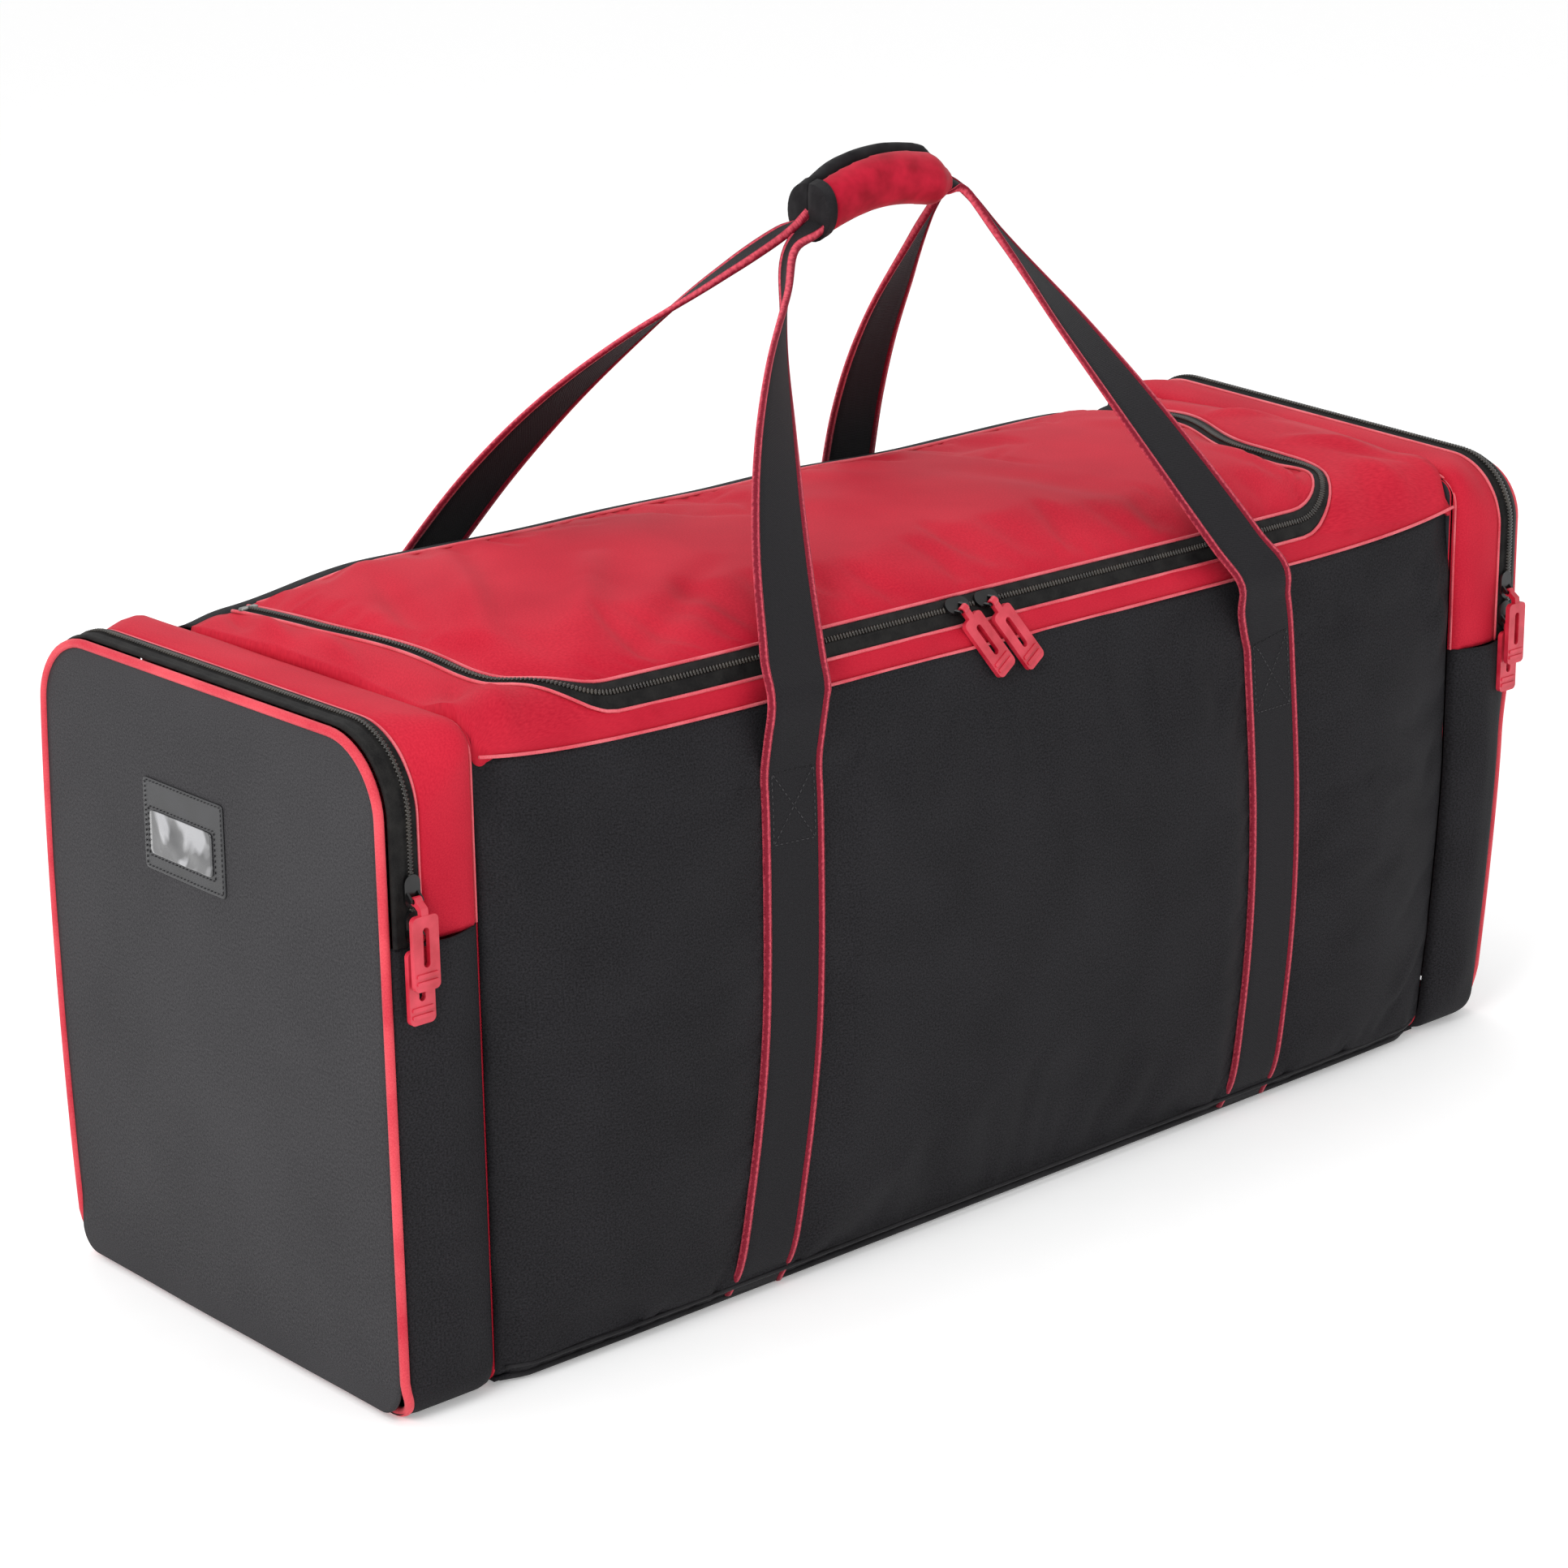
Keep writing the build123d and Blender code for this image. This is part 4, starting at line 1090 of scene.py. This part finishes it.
def make_leg(face, place):
    route = leg_route(face, place)
    start, degrees = TWISTS[face, place]

    def twist(share):
        return radians(degrees) * clamp((share - start) / (1 - start)) ** 2

    def scale(share):
        gather = ease((share - 0.80) / 0.17)
        return 1 - 0.66 * gather, 1 + 0.6 * gather

    stations = frames(route, Vector((1, 0, 0)), twist)
    strap = carried(stations, band_section(STRAP, 2.2 * MM), scale)
    webbing = publish(strap, f"{face}_{place}_webbing", [MATERIALS["black_webbing"]])
    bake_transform(webbing)
    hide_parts(f"{face}_{place}_strap")
    if place == "left":  # the handle's own nodes run over both legs, so one leg stands for them
        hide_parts(f"{face}_handle_strap")
    for edge, shift in (("outer", -1), ("inner", 1)):
        section = band_section(EDGING + 1.8 * MM, 3.6 * MM)
        fold = carried(stations, section, scale, shift * (STRAP / 2 + EDGING / 2))
        band = publish(fold, f"{face}_{place}_{edge}_edging", [MATERIALS["red_edging"]])
        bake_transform(band)
        if place == "left":
            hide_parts(f"{face}_strap_edging", f"{face}_handle_edging")
    box_stitch(face, place, stations)


def stitches(name, lines, out, body, length):
    """Rows of lock-stitch dashes along lines that lie on a surface which faces out."""
    gap, radius = 1.2 * MM, 0.45 * MM
    bm = bmesh.new()
    for line in lines:
        route = even_steps(line, length + gap)
        for a, b in zip(route, route[1:]):
            ahead = (b - a).normalized()
            across = ahead.cross(out).normalized()
            place = Matrix((ahead, across, across.cross(ahead))).transposed().to_4x4()
            place.translation = a.lerp(b, 0.5)
            size = Matrix.Diagonal((length / 2, radius, radius, 1))
            bmesh.ops.create_icosphere(bm, subdivisions=1, radius=1.0, matrix=place @ size)
    return publish(bm, name, [MATERIALS["black_thread"]], body)


def box_stitch(face, place, stations):
    """The box and cross that sew a strap down at the shoulder."""
    sewn = [s for s in stations if 295 * MM < s[0].z < 349 * MM]
    half = STRAP / 2 - 3 * MM

    def spot(share, across):
        i = min(len(sewn) - 1, int(share * (len(sewn) - 1)))
        j = min(len(sewn) - 1, i + 1)
        within = share * (len(sewn) - 1) - i
        centre = sewn[i][0].lerp(sewn[j][0], within)
        return centre + sewn[i][1] * across + sewn[i][2] * outward * 1.25 * MM

    outward = 1 if sewn[0][2].y * TURNS[face] > 0 else -1
    corners = [(0, -half), (0, half), (1, half), (1, -half), (0, -half), (1, half), (1, -half), (0, half)]
    lines = []
    for (s0, a0), (s1, a1) in zip(corners, corners[1:]):
        lines.append([spot(mix(s0, s1, i / 8), mix(a0, a1, i / 8)) for i in range(9)])
    row = stitches(f"{face}_{place}_box_stitch", lines, Vector((0, TURNS[face], 0)), "bag_body", 2.8 * MM)


def grip_line(x):
    """Height of the arched grip's centre line."""
    share = (x - GRIP_LEFT) / (GRIP_RIGHT - GRIP_LEFT)
    return mix(643, 651, share) * MM + 11 * MM * sin(pi * clamp(share))


def grip_part(name, turn, start, stop, girth, ends, material):
    """Half of the wrap between two distances along the grip: flat inside, round outside."""
    count = 30
    route = []
    for i in range(count + 1):
        x = mix(start, stop, i / count)
        rise = 5 * MM * ease((x - GRIP_LEFT) / (30 * MM)) if turn > 0 else 0.0  # the rear half sits higher
        route.append(Vector((x, 0, grip_line(x) + rise)))
    half, depth = 19 * MM * girth, (GRIP_DEPTH - 1 * MM) * girth
    section = [(half, turn * 0.6 * MM), (-half, turn * 0.6 * MM)]
    for i in range(1, 14):
        angle = pi * i / 14
        section.append((-half * cos(angle), turn * (0.6 * MM + depth * sin(angle) ** 0.8)))
    stations = [(point, Vector((0, 0, 1)), Vector((0, 1, 0))) for point in route]

    def scale(share):
        left = ease(share / 0.1) if ends[0] else 1.0
        right = ease((1 - share) / 0.14) if ends[1] else 1.0
        pinch = min(mix(0.72, 1, left), mix(0.55, 1, right))
        return pinch, mix(pinch, 1, 0.3)

    return publish(carried(stations, section, scale), name, [MATERIALS[material]])


def make_grip(face):
    turn = TURNS[face]
    black = "black_grip_cloth"
    cloth = "red_grip_cloth" if face == "front" else black
    pad = grip_part(f"{face}_grip_cushion", turn, BINDING_END, GRIP_RIGHT, 0.95, (False, True), cloth)
    plump(pad)
    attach(pad, f"{face}_handle")
    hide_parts(f"{face}_grip_pad")
    band = grip_part(f"{face}_grip_band", turn, GRIP_LEFT, BINDING_END, 1.0, (True, False), black)
    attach(band, f"{face}_handle")
    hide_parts(f"{face}_grip_binding")


def plump(pad):
    """Blows the pad up a little by cloth simulation, from a remeshed copy."""
    remesh = pad.modifiers.new("remesh", "REMESH")
    remesh.mode = "VOXEL"
    remesh.voxel_size = 3 * MM
    solid = bpy.data.meshes.new_from_object(pad.evaluated_get(bpy.context.evaluated_depsgraph_get()))
    pad.modifiers.clear()
    solid.materials.clear()
    for material in pad.data.materials:
        solid.materials.append(material)
    pad.data = solid
    solid.shade_smooth()
    billow(pad, lambda point: 1 - ease((abs(point.y) - 1.2 * MM) / (3 * MM)), 4.0, 0.0, 2.2 * MM)
    rounder = pad.modifiers.new("smooth", "SUBSURF")
    rounder.levels = 1
    rounder.render_levels = 1


# ---- card pocket on the left end ----------------------------------------------------------------
PATCH = (-21 * MM, 63 * MM, 293 * MM, 357 * MM)  # y and z of its edges
WINDOW = (-9 * MM, 56 * MM, 304 * MM, 334 * MM)


def end_plate(name, box, lift, material, relief=0.0):
    """A thin plate with rounded corners that lies on the left end panel."""
    y0, y1, z0, z1 = box
    radius = 3 * MM
    share = 0.12

    def place(u, v):
        near = min(v, 1 - v) / share
        narrow = radius * (1 - sin(pi / 2 * clamp(near)))
        rise = radius * (1 - cos(pi / 2 * clamp(near)))
        z = z0 + rise if v <= 0.5 else z1 - rise
        if near > 1:
            z = mix(z0 + radius, z1 - radius, (v - share) / (1 - 2 * share))
        y = mix(y0 + narrow, y1 - narrow, u)
        wave = relief * wander(y, z, 16 * MM, 21.0) * sin(pi * u) * sin(pi * v)
        return Vector((-(end_x(y, z) + lift + wave), y, z))

    bm = cloth_grid((28, 26), place, (y1 - y0, z1 - z0))
    bmesh.ops.solidify(bm, geom=bm.faces[:], thickness=0.8 * MM)
    return publish(bm, name, [MATERIALS[material]], "left_pocket_door")


def make_card_pocket():
    patch = end_plate("card_pocket", PATCH, 1.0 * MM, "black_vinyl")
    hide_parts("id_patch")
    window = end_plate("card_window", WINDOW, 1.8 * MM, "clear_vinyl", 1.6 * MM)
    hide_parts("id_window")
    lines = []
    for box, inset in ((PATCH, 2 * MM), (WINDOW, -2 * MM)):
        y0, y1, z0, z1 = box[0] + inset, box[1] - inset, box[2] + inset, box[3] - inset
        corners = [(y0, z0), (y1, z0), (y1, z1), (y0, z1), (y0, z0)]
        for (ya, za), (yb, zb) in zip(corners, corners[1:]):
            spots = [(mix(ya, yb, i / 8), mix(za, zb, i / 8)) for i in range(9)]
            lines.append([Vector((-(end_x(y, z) + 1.4 * MM), y, z)) for y, z in spots])
    row = stitches("card_pocket_stitches", lines, Vector((-1, 0, 0)), "left_pocket_door", 2.4 * MM)


# ---- lower edge ---------------------------------------------------------------------------------
def make_hems():
    """Black piping along the lower edges of the front and the back."""
    for face, turn in TURNS.items():
        for name, z, radius in (("lower", 4, 2.2), ("upper", 13, 1.4)):
            route = []
            for x in range(-432, 433, 6):
                depth = face_y(x * MM, z * MM, turn) + turn * 0.6 * MM
                route.append(Vector((x * MM, depth, z * MM)))
            hem = bead(f"{face}_{name}_hem", route, MATERIALS["black_fold"], "bag_body", radius * MM)


# ---- the frame's own pieces ---------------------------------------------------------------------
def dress_hardware():
    """The zips' sliders and pulls are the frame's own, in their real finishes."""
    for name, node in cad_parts.items():
        for ending, finish in (("_pull", "pull_rubber"), ("_slider", "slider_metal")):
            if name.endswith(ending):
                node.data.materials.clear()
                node.data.materials.append(MATERIALS[finish])


# ---- studio -------------------------------------------------------------------------------------
def aim(obj, place, target):
    """Puts a lamp at a place, facing a target."""
    obj.location = place
    obj.rotation_mode = "QUATERNION"
    obj.rotation_quaternion = (Vector(target) - Vector(place)).to_track_quat("-Z", "Y")


def make_studio():
    """A pale paper floor, a bright even surround and three soft lamps."""
    bm = bmesh.new()
    bmesh.ops.create_grid(bm, x_segments=1, y_segments=1, size=40.0)
    floor = publish(bm, "floor", [])
    glow = {"Emission_Color": (1, 1, 1, 1), "Emission_Strength": 0.25}
    paper, tree, shader = blank("white_paper", Roughness=0.9, Specular_IOR_Level=0.1, **glow)
    place = add(tree, "ShaderNodeTexCoord")
    fibre = add(tree, "ShaderNodeTexNoise", {"Vector": place.outputs["Object"], "Scale": 30.0, "Detail": 3.0})
    ramp = add(tree, "ShaderNodeValToRGB", {"Fac": fibre.outputs["Fac"]})
    ramp.color_ramp.elements[0].color = colour("#f6f6f6")
    ramp.color_ramp.elements[1].color = colour("#fafafa")
    tree.links.new(ramp.outputs["Color"], shader.inputs["Base Color"])
    floor.data.materials.append(paper)
    world = bpy.data.worlds.new("studio")
    world.use_nodes = True
    world.node_tree.nodes["Background"].inputs["Color"].default_value = (1, 1, 1, 1)
    world.node_tree.nodes["Background"].inputs["Strength"].default_value = 0.78
    bpy.context.scene.world = world
    lamps = (  # place, target, size, watts
        ("key", (-2.6, -0.9, 2.3), (-0.3, 0, 0.25), 1.4, 46.0),
        ("top", (0.6, 0.9, 2.8), (0, 0, 0.3), 2.2, 18.0),
        ("fill", (1.6, -2.8, 1.2), (0.2, 0, 0.2), 1.8, 4.0),
    )
    for name, place, target, size, watts in lamps:
        light = bpy.data.lights.new(name, "AREA")
        light.size = size
        light.energy = watts
        lamp = bpy.data.objects.new(name, light)
        bpy.context.scene.collection.objects.link(lamp)
        aim(lamp, place, target)
    bpy.context.scene.view_settings.view_transform = "Standard"


def make_camera():
    """A long lens from the front left, a little above the bag, rolled by under a degree."""
    azimuth, elevation, roll = radians(-41.42), radians(17.46), radians(-0.815)
    back = Vector((sin(azimuth) * cos(elevation), -cos(azimuth) * cos(elevation), sin(elevation)))
    right = (-back).cross(Vector((0, 0, 1))).normalized()
    up = right.cross(-back)
    turned = right * cos(roll) + up * sin(roll)
    up = up * cos(roll) - right * sin(roll)
    lens = bpy.data.cameras.new("camera")
    lens.sensor_width = 36.0
    lens.lens = 89.66
    lens.clip_end = 50.0
    camera = bpy.data.objects.new("camera", lens)
    bpy.context.scene.collection.objects.link(camera)
    place = Matrix((turned, up, back)).transposed().to_4x4()
    place.translation = Vector((-1.718, -1.890, 1.052))
    camera.matrix_world = place
    bpy.context.scene.camera = camera


make_camera()
make_studio()
make_front()
make_back()
make_bottom()
make_yoke()
make_lid()
make_main_zip()
for side_name, side_way in SIDES.items():
    make_pocket(side_name, side_way)
for face_name in TURNS:
    for place_name in SIDES:
        make_leg(face_name, place_name)
    make_grip(face_name)
make_card_pocket()
make_hems()
dress_hardware()
